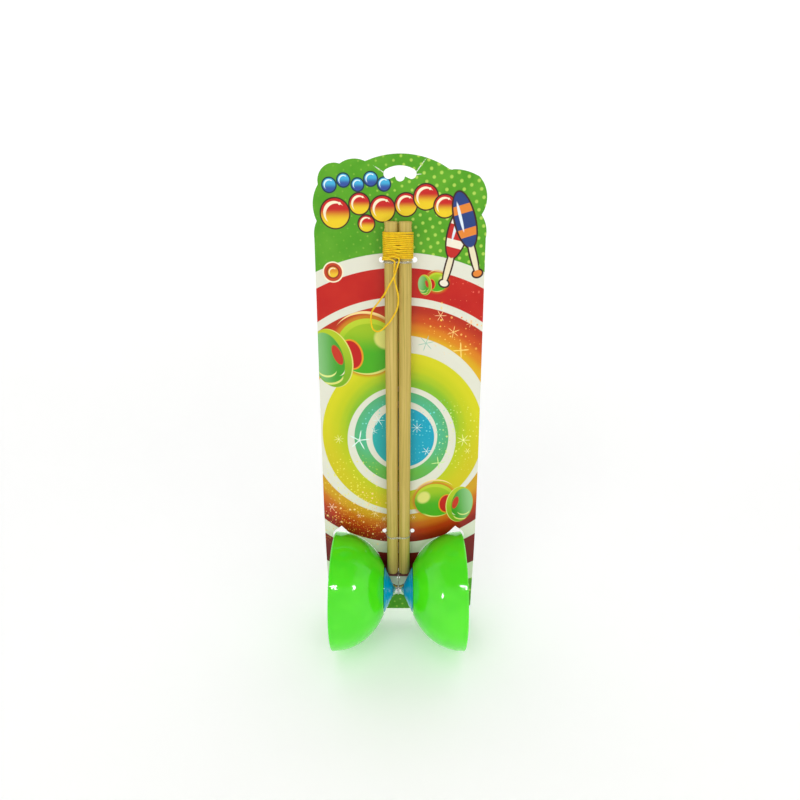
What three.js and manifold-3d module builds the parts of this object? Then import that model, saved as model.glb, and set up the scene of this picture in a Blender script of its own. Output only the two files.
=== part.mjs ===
// A carded diabolo set: a diabolo and its two string-wound hand sticks, tied to a die-cut hanging card.
// Millimetres, +Z up. The origin is the centre of the card's hang slot, on the card's printed face.
// +X runs across the card to the right, and the printed face looks along -Y.
import * as THREE from 'three';
import { mergeVertices } from 'three/addons/utils/BufferGeometryUtils.js';
import Module from 'manifold-3d';

// Card
const CARD_THICKNESS = 0.8;
const CARD_BOTTOM = -383.5;
const SHOULDER = { x: 63, z: -45 };
const WAIST = { x: 67, z: -270 };
const FOOT_HALF_WIDTH = 66.7;
const FOOT_CORNER = 3;
// The cloud-shaped top, from the left shoulder to the right one: where each lobe ends and how far it swells.
const LEFT_SHOULDER_NOTCH = { x: -60.6, z: -32.8 };
const LOBES = [
  { x: -58.5, z: -8.0, rise: 3.3 },
  { x: -42.5, z: 5.6, rise: 6.0 },
  { x: -24.6, z: 7.2, rise: 2.4 },
  { x: 35.4, z: 1.9, rise: 7.3 },
  { x: 56.4, z: -2.8, rise: 1.6 },
  { x: 59.1, z: -28.5, rise: 4.7 },
];
const SHOULDER_SWELL = 0.9;
const LOBE_STEPS = 8;
const SLOT_WIDTH = 23.4;
const SLOT_HEIGHT = 7;
const SLOT_ARCH_RADIUS = 18;
const SLOT_BUMP_RADIUS = 3.4;
const SLOT_BUMP_DROP = 3.2;
const SLOT_RISE = 1;
const SLOT_STEPS = 8;

// The goods hang a little left of the card's centre line.
const GOODS_X = -1.4;

// Hand sticks
const STICK_RADIUS = 4.9;
const STICK_SPACING = 10.3;
const STICK_TOP = -32.6;
const STICK_LENGTH = 303;
const STICK_Y = -6.5;
const STICK_CHAMFER = 0.5;
const STRING_HOLE_RADIUS = 1.2;
const STRING_HOLE_BELOW_TOP = 3.6;
const KNOT_POCKET_RADIUS = 1.9;
const KNOT_POCKET_DEPTH = 3.4;

// String
const STRING_DIAMETER = 1.3;
const WINDING_TOP = -39.6;
const WINDING_BOTTOM = -59.4;
const KNOT_RADIUS = 1.4;
// The free loop that hangs from the winding's last turn, as points from the goods' centre line (x, y, z).
const LOOP_ROUTE = [
  [0.8, -13.75, -58.2],
  [-0.1, -13.9, -62.0],
  [-1.3, -14.6, -65.8],
  [-3.2, -15.2, -70.8],
  [-7.2, -14.6, -78.0],
  [-10.4, -14.0, -83.8],
  [-15.2, -13.7, -90.2],
  [-18.8, -13.6, -94.9],
  [-20.2, -13.5, -99.6],
  [-20.1, -13.5, -104.7],
  [-19.0, -13.5, -109.2],
  [-16.2, -13.5, -111.4],
  [-12.9, -13.5, -110.6],
  [-9.7, -13.6, -107.7],
  [-6.1, -13.6, -103.8],
  [-3.2, -13.7, -99.2],
  [-0.9, -13.7, -94.4],
  [0.1, -13.7, -89.5],
  [0.0, -13.7, -84.0],
  [-1.4, -13.6, -78.0],
  [-2.6, -13.5, -72.6],
  [-2.8, -13.5, -67.2],
  [-2.6, -13.6, -62.2],
  [-2.2, -13.75, -58.2],
];
// Half of the loop's eight sides: ExtrudeGeometry doubles this number on a full circle.
const LOOP_CURVE_SEGMENTS = 4;
const LOOP_STEPS = 68;

// Clear ties
const TIE_THICKNESS = 0.6;
const TIE_HEIGHT = 1.4;
const TIE_BACK_RADIUS = 0.5;
const TIE_SMALLEST_RADIUS = 0.2;
const TIE_HOLE_SPREAD = 12.3;
const TIE_HOLE_RADIUS = 2.1;
const TIE_HALF_WIDTH = 11.9;
const UPPER_TIE_Z = -60.8;
const UPPER_HOLE_Z = -60.2;
const LOWER_TIE_Z = -296.9;
const AXLE_TIE_WIDTH = 1.4;
const AXLE_TIE_RADIUS = 4.1;
const AXLE_TIE_FLAT = 0.1;
const AXLE_HOLE_RADIUS = 1.6;
const AXLE_HOLE_SPREAD = 4.4;

// Diabolo, along X and mirrored about its middle
const AXLE_Y = -21.4;
const AXLE_Z = -343.7;
const SPOOL_HALF_LENGTH = 4.6;
const SPOOL_END_RADIUS = 5;
const SPOOL_WAIST_RADIUS = 3.5;
const SPOOL_STEPS = 10;
const SPIGOT_RADIUS = 4;
const SPIGOT_HALF_LENGTH = 7.6;
const HUB_BACK = 12.4;
const HUB_BACK_RADIUS = 18.8;
const HUB_EDGE = 0.6;
const CUP_SEAT = 12.75;
const CUP_CENTRE = 54.6;
const CUP_DEPTH_RADIUS = 46;
const CUP_RIM_RADIUS = 50;
const CUP_WALL = 2.5;
const CUP_FLOOR = 15.8;
const CUP_STEPS = 8;
const RIM_RADIUS = 1.6;
const RIM_OFFSET = 0.6;
const RIM_STEPS = 4;
const BOLT_RADIUS = 2;
const BORE_RADIUS = 2.4;
const WASHER_RADIUS = 7;
const WASHER_THICKNESS = 1;
const LOCK_WASHER_RADIUS = 4.2;
const LOCK_WASHER_THICKNESS = 1.1;
const LOCK_WASHER_SLIT = 0.7;
const HEX_RADIUS = 4.1;
const NUT_HEIGHT = 3.2;
const HEAD_HEIGHT = 2.8;
const BOLT_END = 23.5;

// Openings in the card that the cups pass through
const CUP_CLEARANCE = 0.9;
const TONGUE_HALF_WIDTH = 9.4;
const PEAK = { x: 50.6, rise: 51.6 };
const PEAK_OUTER = { x: 56.8, rise: 46.5 };
const OPENING_OUTER_X = 58.6;
const OPENING_RISE = 43.4;
const PEAK_FALL = 3.2;
const OPENING_STEPS = 24;

const GAP = 0.3;
const ROUND_SEGMENTS = 44;
const SMALL_SEGMENTS = 24;
const KNOT_SEGMENTS = 16;
const STRING_SEGMENTS = 12;

const COLOURS = {
  card: { color: 0x4b9b1e, roughness: 0.35, metalness: 0 },
  tie: { color: 0xe4e8e2, roughness: 0.2, metalness: 0 },
  wood: { color: 0xc3aa5a, roughness: 0.7, metalness: 0 },
  string: { color: 0xe6be14, roughness: 0.85, metalness: 0 },
  cup: { color: 0x4be123, roughness: 0.3, metalness: 0 },
  hub: { color: 0x198cc3, roughness: 0.35, metalness: 0 },
  steel: { color: 0xc8cacc, roughness: 0.2, metalness: 1 },
};

const wasm = await Module();
wasm.setup();

const object = new THREE.Group();

// Adds a named mesh to the object, with a material of its own.
function addPiece(name, geometry, look) {
  const mesh = new THREE.Mesh(geometry, new THREE.MeshStandardMaterial(COLOURS[look]));
  mesh.name = name;
  object.add(mesh);
  return mesh;
}

function toSolid(geometry) {
  const bare = geometry.clone();
  bare.deleteAttribute('normal');
  bare.deleteAttribute('uv');
  const merged = mergeVertices(bare, 1e-4);
  const vertProperties = new Float32Array(merged.attributes.position.array);
  const triVerts = new Uint32Array(merged.index.array);
  return new wasm.Manifold(new wasm.Mesh({ numProp: 3, vertProperties, triVerts }));
}

function toGeometry(solid) {
  const mesh = solid.getMesh();
  const geometry = new THREE.BufferGeometry();
  geometry.setAttribute('position', new THREE.BufferAttribute(new Float32Array(mesh.vertProperties), 3));
  geometry.setIndex(new THREE.BufferAttribute(new Uint32Array(mesh.triVerts), 1));
  geometry.computeVertexNormals();
  return geometry;
}

// Cuts every tool out of a geometry.
function cut(geometry, tools) {
  let solid = toSolid(geometry);
  for (const tool of tools) {
    solid = solid.subtract(toSolid(tool));
  }
  return toGeometry(solid);
}

function join(first, second) {
  return toGeometry(toSolid(first).add(toSolid(second)));
}

// Turns a profile of [x, r] points about the X axis; the profile closes on itself.
function lathe(profile, segments) {
  const points = profile.map(([x, r]) => new THREE.Vector2(r, x));
  points.push(points[0].clone());
  const geometry = new THREE.LatheGeometry(points, segments);
  geometry.rotateZ(-Math.PI / 2);
  return geometry;
}

// A cylinder along X, from x0 to x1.
function rodAlongX(radius, x0, x1, segments) {
  const geometry = new THREE.CylinderGeometry(radius, radius, x1 - x0, segments);
  geometry.rotateZ(Math.PI / 2);
  geometry.translate((x0 + x1) / 2, 0, 0);
  return geometry;
}

// Points after `start` on the arc to `end`, swelling by `rise` to the left of the way travelled.
function arcPoints(start, end, rise, steps) {
  const chord = end.clone().sub(start);
  const half = chord.length() / 2;
  const radius = (half * half + rise * rise) / (2 * rise);
  const outward = new THREE.Vector2(-chord.y, chord.x).normalize();
  const centre = start.clone().add(end).multiplyScalar(0.5).addScaledVector(outward, rise - radius);
  const sweep = 2 * Math.asin(Math.min(1, half / radius));
  const from = start.clone().sub(centre);
  const points = [];
  for (let i = 1; i <= steps; i += 1) {
    points.push(from.clone().rotateAround(new THREE.Vector2(), -sweep * i / steps).add(centre));
  }
  return points;
}

// ---- Card ----

// The cup's outside, as the distance from the diabolo's middle at a distance r from its axle.
function cupOutside(r) {
  const share = Math.min(1, r / CUP_RIM_RADIUS);
  return Math.max(CUP_SEAT, CUP_CENTRE - CUP_DEPTH_RADIUS * Math.sqrt(1 - share * share));
}

// One cup opening's edge, from the card's bottom edge at the tongue, over the peak, to the outer leg.
function openingEdge() {
  const points = [];
  const low = CARD_BOTTOM - AXLE_Z;
  for (let i = 0; i <= OPENING_STEPS; i += 1) {
    const rise = THREE.MathUtils.lerp(low, OPENING_RISE, i / OPENING_STEPS);
    const x = Math.max(TONGUE_HALF_WIDTH, cupOutside(Math.hypot(AXLE_Y, rise)) - CUP_CLEARANCE);
    points.push(new THREE.Vector2(x, AXLE_Z + rise));
  }
  points.push(new THREE.Vector2(PEAK.x, AXLE_Z + PEAK.rise));
  points.push(new THREE.Vector2(PEAK_OUTER.x, AXLE_Z + PEAK_OUTER.rise));
  points.push(new THREE.Vector2(OPENING_OUTER_X, AXLE_Z + PEAK_OUTER.rise - PEAK_FALL));
  points.push(new THREE.Vector2(OPENING_OUTER_X, CARD_BOTTOM));
  return points;
}

function cardOutline() {
  const right = openingEdge().map((p) => new THREE.Vector2(GOODS_X + p.x, p.y));
  const left = openingEdge().map((p) => new THREE.Vector2(GOODS_X - p.x, p.y)).reverse();
  const points = [...left, ...right];
  points.push(new THREE.Vector2(FOOT_HALF_WIDTH - FOOT_CORNER, CARD_BOTTOM));
  points.push(new THREE.Vector2(FOOT_HALF_WIDTH, CARD_BOTTOM + FOOT_CORNER));
  points.push(new THREE.Vector2(WAIST.x, WAIST.z));
  points.push(new THREE.Vector2(SHOULDER.x, SHOULDER.z));

  // The cloud-shaped top is listed from left to right, and the outline runs from right to left.
  const ends = [new THREE.Vector2(-SHOULDER.x, SHOULDER.z)];
  ends.push(new THREE.Vector2(LEFT_SHOULDER_NOTCH.x, LEFT_SHOULDER_NOTCH.z));
  ends.push(...LOBES.map((lobe) => new THREE.Vector2(lobe.x, lobe.z)));
  ends.push(new THREE.Vector2(SHOULDER.x, SHOULDER.z));
  const rises = [SHOULDER_SWELL, ...LOBES.map((lobe) => lobe.rise), 2 * SHOULDER_SWELL];
  const top = [ends[0]];
  for (let i = 1; i < ends.length; i += 1) {
    top.push(...arcPoints(ends[i - 1], ends[i], rises[i - 1], LOBE_STEPS));
  }
  top.pop();
  points.push(...top.reverse());

  points.push(new THREE.Vector2(-WAIST.x, WAIST.z));
  points.push(new THREE.Vector2(-FOOT_HALF_WIDTH, CARD_BOTTOM + FOOT_CORNER));
  points.push(new THREE.Vector2(-FOOT_HALF_WIDTH + FOOT_CORNER, CARD_BOTTOM));
  return points;
}

// The arched hang slot with a round bump under its middle.
function slotPath() {
  const capRadius = SLOT_HEIGHT / 2;
  const reach = Math.asin((SLOT_WIDTH / 2 - capRadius) / SLOT_ARCH_RADIUS);
  const centreZ = SLOT_RISE - SLOT_ARCH_RADIUS;
  const onArch = (radius, angle) => [radius * Math.sin(angle), centreZ + radius * Math.cos(angle)];
  const path = new THREE.Path();
  path.moveTo(...onArch(SLOT_ARCH_RADIUS + capRadius, -reach));
  for (let i = 1; i <= SLOT_STEPS; i += 1) {
    path.lineTo(...onArch(SLOT_ARCH_RADIUS + capRadius, -reach + 2 * reach * i / SLOT_STEPS));
  }
  const [capX, capZ] = onArch(SLOT_ARCH_RADIUS, reach);
  path.absarc(capX, capZ, capRadius, Math.PI / 2 - reach, -Math.PI / 2 - reach, true);
  const innerRadius = SLOT_ARCH_RADIUS - capRadius;
  const bumpAngle = Math.asin(SLOT_BUMP_RADIUS / innerRadius);
  const bumpZ = onArch(innerRadius, bumpAngle)[1] - SLOT_BUMP_DROP + SLOT_BUMP_RADIUS;
  path.lineTo(...onArch(innerRadius, (reach + bumpAngle) / 2));
  path.absarc(0, bumpZ, SLOT_BUMP_RADIUS, 0, -Math.PI, true);
  path.lineTo(...onArch(innerRadius, -(reach + bumpAngle) / 2));
  path.absarc(-capX, capZ, capRadius, reach - Math.PI / 2, reach - 1.5 * Math.PI, true);
  return path;
}

function roundHole(x, z, radius) {
  const path = new THREE.Path();
  path.absarc(x, z, radius, 0, 2 * Math.PI, true);
  return path;
}

const cardShape = new THREE.Shape(cardOutline());
cardShape.holes.push(slotPath());
for (const side of [-1, 1]) {
  cardShape.holes.push(roundHole(GOODS_X + side * TIE_HOLE_SPREAD, UPPER_HOLE_Z, TIE_HOLE_RADIUS));
  cardShape.holes.push(roundHole(GOODS_X + side * TIE_HOLE_SPREAD, LOWER_TIE_Z, TIE_HOLE_RADIUS));
  cardShape.holes.push(roundHole(GOODS_X, AXLE_Z + side * AXLE_HOLE_SPREAD, AXLE_HOLE_RADIUS));
}
const cardGeometry = new THREE.ExtrudeGeometry(cardShape, {
  depth: CARD_THICKNESS,
  bevelEnabled: false,
  curveSegments: 8,
});
cardGeometry.rotateX(Math.PI / 2);
cardGeometry.translate(0, CARD_THICKNESS, 0);
addPiece('backing_card', cardGeometry, 'card');

// ---- Clear ties ----

// A closed strap between two y values, with its own radius at the front corners, extruded along Z.
function strapLoop(halfWidth, frontY, backY, frontRadius, height) {
  const outline = (inset, target) => {
    const w = halfWidth - inset;
    const front = frontY + inset;
    const back = backY - inset;
    const fr = frontRadius - inset;
    const br = Math.max(TIE_SMALLEST_RADIUS, TIE_BACK_RADIUS - inset);
    target.moveTo(-w, back - br);
    target.lineTo(-w, front + fr);
    target.absarc(-w + fr, front + fr, fr, Math.PI, 1.5 * Math.PI, false);
    target.lineTo(w - fr, front);
    target.absarc(w - fr, front + fr, fr, 1.5 * Math.PI, 2 * Math.PI, false);
    target.lineTo(w, back - br);
    target.absarc(w - br, back - br, br, 0, Math.PI / 2, false);
    target.lineTo(-w + br, back);
    target.absarc(-w + br, back - br, br, Math.PI / 2, Math.PI, false);
    return target;
  };
  const shape = outline(0, new THREE.Shape());
  shape.holes.push(outline(TIE_THICKNESS, new THREE.Path()));
  const geometry = new THREE.ExtrudeGeometry(shape, { depth: height, bevelEnabled: false, curveSegments: 6 });
  geometry.translate(0, 0, -height / 2);
  return geometry;
}

const tieBackY = CARD_THICKNESS + GAP + TIE_THICKNESS;
const tieFrontY = STICK_Y - STICK_RADIUS - GAP - TIE_THICKNESS;
for (const [name, z] of [['upper_tie', UPPER_TIE_Z], ['lower_tie', LOWER_TIE_Z]]) {
  const geometry = strapLoop(TIE_HALF_WIDTH, tieFrontY, tieBackY, STICK_RADIUS + GAP, TIE_HEIGHT);
  addPiece(name, geometry, 'tie').position.set(GOODS_X, 0, z);
}

const axleTieHalf = AXLE_TIE_RADIUS + TIE_THICKNESS;
const axleTieGeometry = strapLoop(
  axleTieHalf, AXLE_Y - axleTieHalf, tieBackY, axleTieHalf - AXLE_TIE_FLAT, AXLE_TIE_WIDTH,
);
axleTieGeometry.rotateY(Math.PI / 2);
addPiece('axle_tie', axleTieGeometry, 'tie').position.set(GOODS_X, 0, AXLE_Z);

// ---- Hand sticks ----

function stickGeometry(side) {
  const end = STICK_RADIUS - STICK_CHAMFER;
  const profile = [
    new THREE.Vector2(0, 0),
    new THREE.Vector2(end, 0),
    new THREE.Vector2(STICK_RADIUS, STICK_CHAMFER),
    new THREE.Vector2(STICK_RADIUS, STICK_LENGTH - STICK_CHAMFER),
    new THREE.Vector2(end, STICK_LENGTH),
    new THREE.Vector2(0, STICK_LENGTH),
  ];
  const body = new THREE.LatheGeometry(profile, ROUND_SEGMENTS);
  body.rotateX(Math.PI / 2);
  body.translate(0, 0, -STICK_LENGTH);
  const hole = rodAlongX(STRING_HOLE_RADIUS, -2 * STICK_RADIUS, 2 * STICK_RADIUS, SMALL_SEGMENTS);
  const pocketStart = side * (STICK_RADIUS - KNOT_POCKET_DEPTH);
  const pocketEnd = side * (STICK_RADIUS + 1);
  const pocket = rodAlongX(
    KNOT_POCKET_RADIUS, Math.min(pocketStart, pocketEnd), Math.max(pocketStart, pocketEnd), SMALL_SEGMENTS,
  );
  for (const tool of [hole, pocket]) {
    tool.translate(0, 0, -STRING_HOLE_BELOW_TOP);
  }
  return cut(body, [hole, pocket]);
}

// The knotted end of the string, sunk in the stick's pocket, with its tail through the cross hole.
function stringEndGeometry(side) {
  const knot = new THREE.SphereGeometry(KNOT_RADIUS, KNOT_SEGMENTS, STRING_SEGMENTS);
  knot.rotateZ(Math.PI / 2);
  const knotX = side * (STICK_RADIUS - KNOT_POCKET_DEPTH + GAP + KNOT_RADIUS);
  knot.translate(knotX, 0, 0);
  const middleX = side * (GAP / 2 - STICK_SPACING / 2);
  const tailEnds = [Math.min(middleX, knotX), Math.max(middleX, knotX)];
  const tail = rodAlongX(STRING_DIAMETER / 2, ...tailEnds, STRING_SEGMENTS);
  return join(knot, tail);
}

for (const [word, side] of [['left', -1], ['right', 1]]) {
  const x = GOODS_X + side * STICK_SPACING / 2;
  addPiece(`${word}_stick`, stickGeometry(side), 'wood').position.set(x, STICK_Y, STICK_TOP);
  const knotZ = STICK_TOP - STRING_HOLE_BELOW_TOP;
  addPiece(`${word}_string_end`, stringEndGeometry(side), 'string').position.set(x, STICK_Y, knotZ);
}

// ---- String ----

// A stadium around both sticks.
function stadium(radius, target) {
  const reach = STICK_SPACING / 2;
  target.absarc(reach, 0, radius, -Math.PI / 2, Math.PI / 2, false);
  target.absarc(-reach, 0, radius, Math.PI / 2, 1.5 * Math.PI, false);
  return target;
}

const windingShape = stadium(STICK_RADIUS + STRING_DIAMETER, new THREE.Shape());
windingShape.holes.push(stadium(STICK_RADIUS + GAP, new THREE.Path()));
const windingGeometry = new THREE.ExtrudeGeometry(windingShape, {
  depth: WINDING_TOP - WINDING_BOTTOM,
  bevelEnabled: false,
  curveSegments: 20,
});
addPiece('string_winding', windingGeometry, 'string').position.set(GOODS_X, STICK_Y, WINDING_BOTTOM);

const loopSection = new THREE.Shape();
loopSection.absarc(0, 0, STRING_DIAMETER / 2, 0, 2 * Math.PI, false);
const loopCurve = new THREE.CatmullRomCurve3(LOOP_ROUTE.map(([x, y, z]) => new THREE.Vector3(x, y, z)));
const loopGeometry = new THREE.ExtrudeGeometry(loopSection, {
  extrudePath: loopCurve,
  steps: LOOP_STEPS,
  curveSegments: LOOP_CURVE_SEGMENTS,
});
addPiece('string_loop', loopGeometry, 'string').position.set(GOODS_X, 0, 0);

// ---- Diabolo ----

function cupProfile() {
  const outer = [];
  const inner = [];
  const seatRadius = CUP_RIM_RADIUS * Math.sqrt(1 - ((CUP_CENTRE - CUP_SEAT) / CUP_DEPTH_RADIUS) ** 2);
  const innerRim = CUP_RIM_RADIUS - CUP_WALL;
  const innerDepth = CUP_DEPTH_RADIUS - CUP_WALL;
  const floorRadius = innerRim * Math.sqrt(1 - ((CUP_CENTRE - CUP_FLOOR) / innerDepth) ** 2);
  const outerStart = Math.acos(seatRadius / CUP_RIM_RADIUS);
  const innerStart = Math.acos(floorRadius / innerRim);
  for (let i = 0; i <= CUP_STEPS; i += 1) {
    const a = outerStart * (1 - i / CUP_STEPS);
    const b = innerStart * (i / CUP_STEPS);
    outer.push([CUP_CENTRE - CUP_DEPTH_RADIUS * Math.sin(a), CUP_RIM_RADIUS * Math.cos(a)]);
    inner.push([CUP_CENTRE - innerDepth * Math.sin(b), innerRim * Math.cos(b)]);
  }
  // The rounded lip stands a little proud of the wall on both sides.
  const lip = [];
  const lipX = CUP_CENTRE + RIM_OFFSET;
  const lipRadius = CUP_RIM_RADIUS - CUP_WALL / 2;
  for (let i = 0; i <= RIM_STEPS; i += 1) {
    const angle = Math.PI * i / RIM_STEPS;
    lip.push([lipX + RIM_RADIUS * Math.sin(angle), lipRadius + RIM_RADIUS * Math.cos(angle)]);
  }
  return [[CUP_SEAT, BORE_RADIUS], ...outer, ...lip, ...inner, [CUP_FLOOR, BORE_RADIUS]];
}

function hubProfile() {
  const pocket = SPIGOT_HALF_LENGTH + GAP;
  return [
    [SPOOL_HALF_LENGTH + GAP, SPIGOT_RADIUS + GAP],
    [SPOOL_HALF_LENGTH + GAP, SPOOL_END_RADIUS],
    [HUB_BACK - HUB_EDGE, HUB_BACK_RADIUS],
    [HUB_BACK, HUB_BACK_RADIUS],
    [HUB_BACK, BORE_RADIUS],
    [pocket, BORE_RADIUS],
    [pocket, SPIGOT_RADIUS + GAP],
  ];
}

function spoolProfile() {
  const points = [[-SPIGOT_HALF_LENGTH, BORE_RADIUS], [-SPIGOT_HALF_LENGTH, SPIGOT_RADIUS]];
  points.push([-SPOOL_HALF_LENGTH, SPIGOT_RADIUS]);
  for (let i = 0; i <= SPOOL_STEPS; i += 1) {
    const share = 2 * i / SPOOL_STEPS - 1;
    const r = THREE.MathUtils.lerp(SPOOL_WAIST_RADIUS, SPOOL_END_RADIUS, share * share);
    points.push([share * SPOOL_HALF_LENGTH, r]);
  }
  points.push([SPOOL_HALF_LENGTH, SPIGOT_RADIUS], [SPIGOT_HALF_LENGTH, SPIGOT_RADIUS]);
  points.push([SPIGOT_HALF_LENGTH, BORE_RADIUS]);
  return points;
}

function hexAlongX(x0, x1) {
  return rodAlongX(HEX_RADIUS, x0, x1, 6);
}

// A split spring washer: a flat ring with one narrow slit.
function lockWasher(x0) {
  const ring = lathe(
    [[x0, BORE_RADIUS], [x0, LOCK_WASHER_RADIUS], [x0 + LOCK_WASHER_THICKNESS, LOCK_WASHER_RADIUS],
      [x0 + LOCK_WASHER_THICKNESS, BORE_RADIUS]],
    SMALL_SEGMENTS,
  );
  const slit = new THREE.BoxGeometry(3 * LOCK_WASHER_THICKNESS, LOCK_WASHER_RADIUS, LOCK_WASHER_SLIT);
  slit.translate(x0, LOCK_WASHER_RADIUS / 2 + BORE_RADIUS / 2, 0);
  return cut(ring, [slit]);
}

function washer(x0) {
  return lathe(
    [[x0, BORE_RADIUS], [x0, WASHER_RADIUS], [x0 + WASHER_THICKNESS, WASHER_RADIUS],
      [x0 + WASHER_THICKNESS, BORE_RADIUS]],
    SMALL_SEGMENTS,
  );
}

function addToDiabolo(name, geometry, look, side = 1) {
  const mesh = addPiece(name, geometry, look);
  mesh.position.set(GOODS_X, AXLE_Y, AXLE_Z);
  mesh.rotation.z = side < 0 ? Math.PI : 0;
}

for (const [word, side] of [['left', -1], ['right', 1]]) {
  addToDiabolo(`${word}_cup`, lathe(cupProfile(), ROUND_SEGMENTS), 'cup', side);
  addToDiabolo(`${word}_hub`, lathe(hubProfile(), ROUND_SEGMENTS), 'hub', side);
  addToDiabolo(`${word}_washer`, washer(CUP_FLOOR + GAP), 'steel', side);
}
addToDiabolo('axle_spool', lathe(spoolProfile(), SMALL_SEGMENTS), 'steel');

const washerTop = CUP_FLOOR + GAP + WASHER_THICKNESS;
const headStart = -washerTop - GAP - HEAD_HEIGHT;
const bolt = join(
  hexAlongX(headStart, headStart + HEAD_HEIGHT),
  rodAlongX(BOLT_RADIUS, headStart + HEAD_HEIGHT / 2, BOLT_END, SMALL_SEGMENTS),
);
addToDiabolo('through_bolt', bolt, 'steel');
addToDiabolo('lock_washer', lockWasher(washerTop + GAP), 'steel');
const nutStart = washerTop + GAP + LOCK_WASHER_THICKNESS + GAP;
const nutBore = rodAlongX(BORE_RADIUS, nutStart - 1, nutStart + NUT_HEIGHT + 1, SMALL_SEGMENTS);
addToDiabolo('hex_nut', cut(hexAlongX(nutStart, nutStart + NUT_HEIGHT), [nutBore]), 'steel');

export default object;
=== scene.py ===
"""A carded diabolo with its two string-wound hand sticks: the detailed model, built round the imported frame.

Lengths here are in millimetres, and become metres when a mesh is made. The axes are the frame's own:
+Z up the card, +X to the right, and the card's printed face looks along -Y.
"""
import math

import bmesh
import bpy
from mathutils import Euler, Matrix, Vector, geometry


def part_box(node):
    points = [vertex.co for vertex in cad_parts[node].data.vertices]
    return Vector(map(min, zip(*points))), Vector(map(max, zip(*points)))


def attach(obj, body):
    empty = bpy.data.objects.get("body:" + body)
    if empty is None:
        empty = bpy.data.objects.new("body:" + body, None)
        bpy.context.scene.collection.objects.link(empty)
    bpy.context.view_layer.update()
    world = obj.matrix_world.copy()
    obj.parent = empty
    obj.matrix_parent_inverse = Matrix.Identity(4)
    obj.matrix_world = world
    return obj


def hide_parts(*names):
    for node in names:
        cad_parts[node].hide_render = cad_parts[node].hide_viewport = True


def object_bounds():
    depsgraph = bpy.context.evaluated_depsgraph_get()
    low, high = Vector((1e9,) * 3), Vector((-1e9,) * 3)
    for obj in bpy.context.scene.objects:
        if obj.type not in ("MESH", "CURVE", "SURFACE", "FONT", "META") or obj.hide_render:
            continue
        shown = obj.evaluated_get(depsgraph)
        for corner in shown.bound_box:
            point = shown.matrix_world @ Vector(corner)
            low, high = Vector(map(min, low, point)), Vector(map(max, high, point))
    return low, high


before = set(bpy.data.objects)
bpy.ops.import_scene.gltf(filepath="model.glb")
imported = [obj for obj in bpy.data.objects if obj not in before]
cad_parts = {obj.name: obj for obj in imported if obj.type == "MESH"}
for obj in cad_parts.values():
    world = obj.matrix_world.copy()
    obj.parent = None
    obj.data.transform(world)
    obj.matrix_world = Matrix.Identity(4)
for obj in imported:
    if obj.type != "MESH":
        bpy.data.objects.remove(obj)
cad_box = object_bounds()

MM = 0.001
SIDES = (("left", -1), ("right", 1))


def span(node):
    """A node's lowest and highest corners, in millimetres."""
    low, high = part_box(node)
    return Vector(low) / MM, Vector(high) / MM


# ---------------------------------------------------------------- Sizes, from the frame

spool_low, spool_high = span("axle_spool")
AXLE = (spool_low + spool_high) / 2
GOODS_X = AXLE.x

stick_low, stick_high = span("left_stick")
STICK_RADIUS = (stick_high.x - stick_low.x) / 2
STICK_Y = (stick_low.y + stick_high.y) / 2
STICK_TOP = stick_high.z
STICK_BOTTOM = stick_low.z
STICK_OFFSET = GOODS_X - (stick_low.x + stick_high.x) / 2
STICK_CHAMFER = 0.5
# The height of the string's cross hole, and the pocket at the hole's outer end for the knot.
HOLE_Z = STICK_TOP - 3.6
POCKET_RADIUS = 1.9
POCKET_DEPTH = 3.4
KNOT_RADIUS = 1.302
KNOT_OUT = 3.2
# The radius at which a turned profile closes on its axis.
PIN = 0.01

CARD_THICKNESS = span("backing_card")[1].y
CARD_HALF_WIDTH = span("backing_card")[1].x

CUP_SEAT = span("right_cup")[0].x - AXLE.x
CUP_REACH = span("right_cup")[1].x - AXLE.x
CUP_RIM_RADIUS = 50
CUP_DEPTH_RADIUS = 46
CUP_WALL = 2.5
CUP_FLOOR = CUP_SEAT + 3.05
LIP_RADIUS = 1.6
LIP_OUT = 0.6
LIP_STEPS = 12
CUP_CENTRE = CUP_REACH - LIP_RADIUS - LIP_OUT

HUB_FRONT = span("right_hub")[0].x - AXLE.x
HUB_BACK = span("right_hub")[1].x - AXLE.x
HUB_RADIUS = (span("right_hub")[1].z - span("right_hub")[0].z) / 2
SPOOL_END_RADIUS = 5
SPOOL_WAIST_RADIUS = 3.5
SPOOL_HALF_LENGTH = HUB_FRONT - 0.3
SPIGOT_RADIUS = 4
SPIGOT_HALF_LENGTH = spool_high.x - AXLE.x
BORE_RADIUS = 2.4
BOLT_RADIUS = 2

STRING_DIAMETER = 1.3
STRING_RADIUS = STRING_DIAMETER / 2
WINDING_TOP = span("string_winding")[1].z
ROW_PITCH = 1.31
# The free loop below the winding, from the goods' centre line (x, y, z).
LOOP_ROUTE = [
    (0.8, -13.75, -58.2), (-0.1, -13.9, -62.0), (-1.3, -14.6, -65.8), (-3.2, -15.2, -70.8),
    (-7.2, -14.6, -78.0), (-10.4, -14.0, -83.8), (-15.2, -13.7, -90.2), (-18.8, -13.6, -94.9),
    (-20.2, -13.5, -99.6), (-20.1, -13.5, -104.7), (-19.0, -13.5, -109.2), (-16.2, -13.5, -111.4),
    (-12.9, -13.5, -110.6), (-9.7, -13.6, -107.7), (-6.1, -13.6, -103.8), (-3.2, -13.7, -99.2),
    (-0.9, -13.7, -94.4), (0.1, -13.7, -89.5), (0.0, -13.7, -84.0), (-1.4, -13.6, -78.0),
    (-2.6, -13.5, -72.6), (-2.8, -13.5, -67.2), (-2.6, -13.6, -62.2),
]


# ---------------------------------------------------------------- Meshes

def add_object(name, mesh):
    piece = bpy.data.objects.new(name, mesh)
    bpy.context.scene.collection.objects.link(piece)
    return piece


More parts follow.
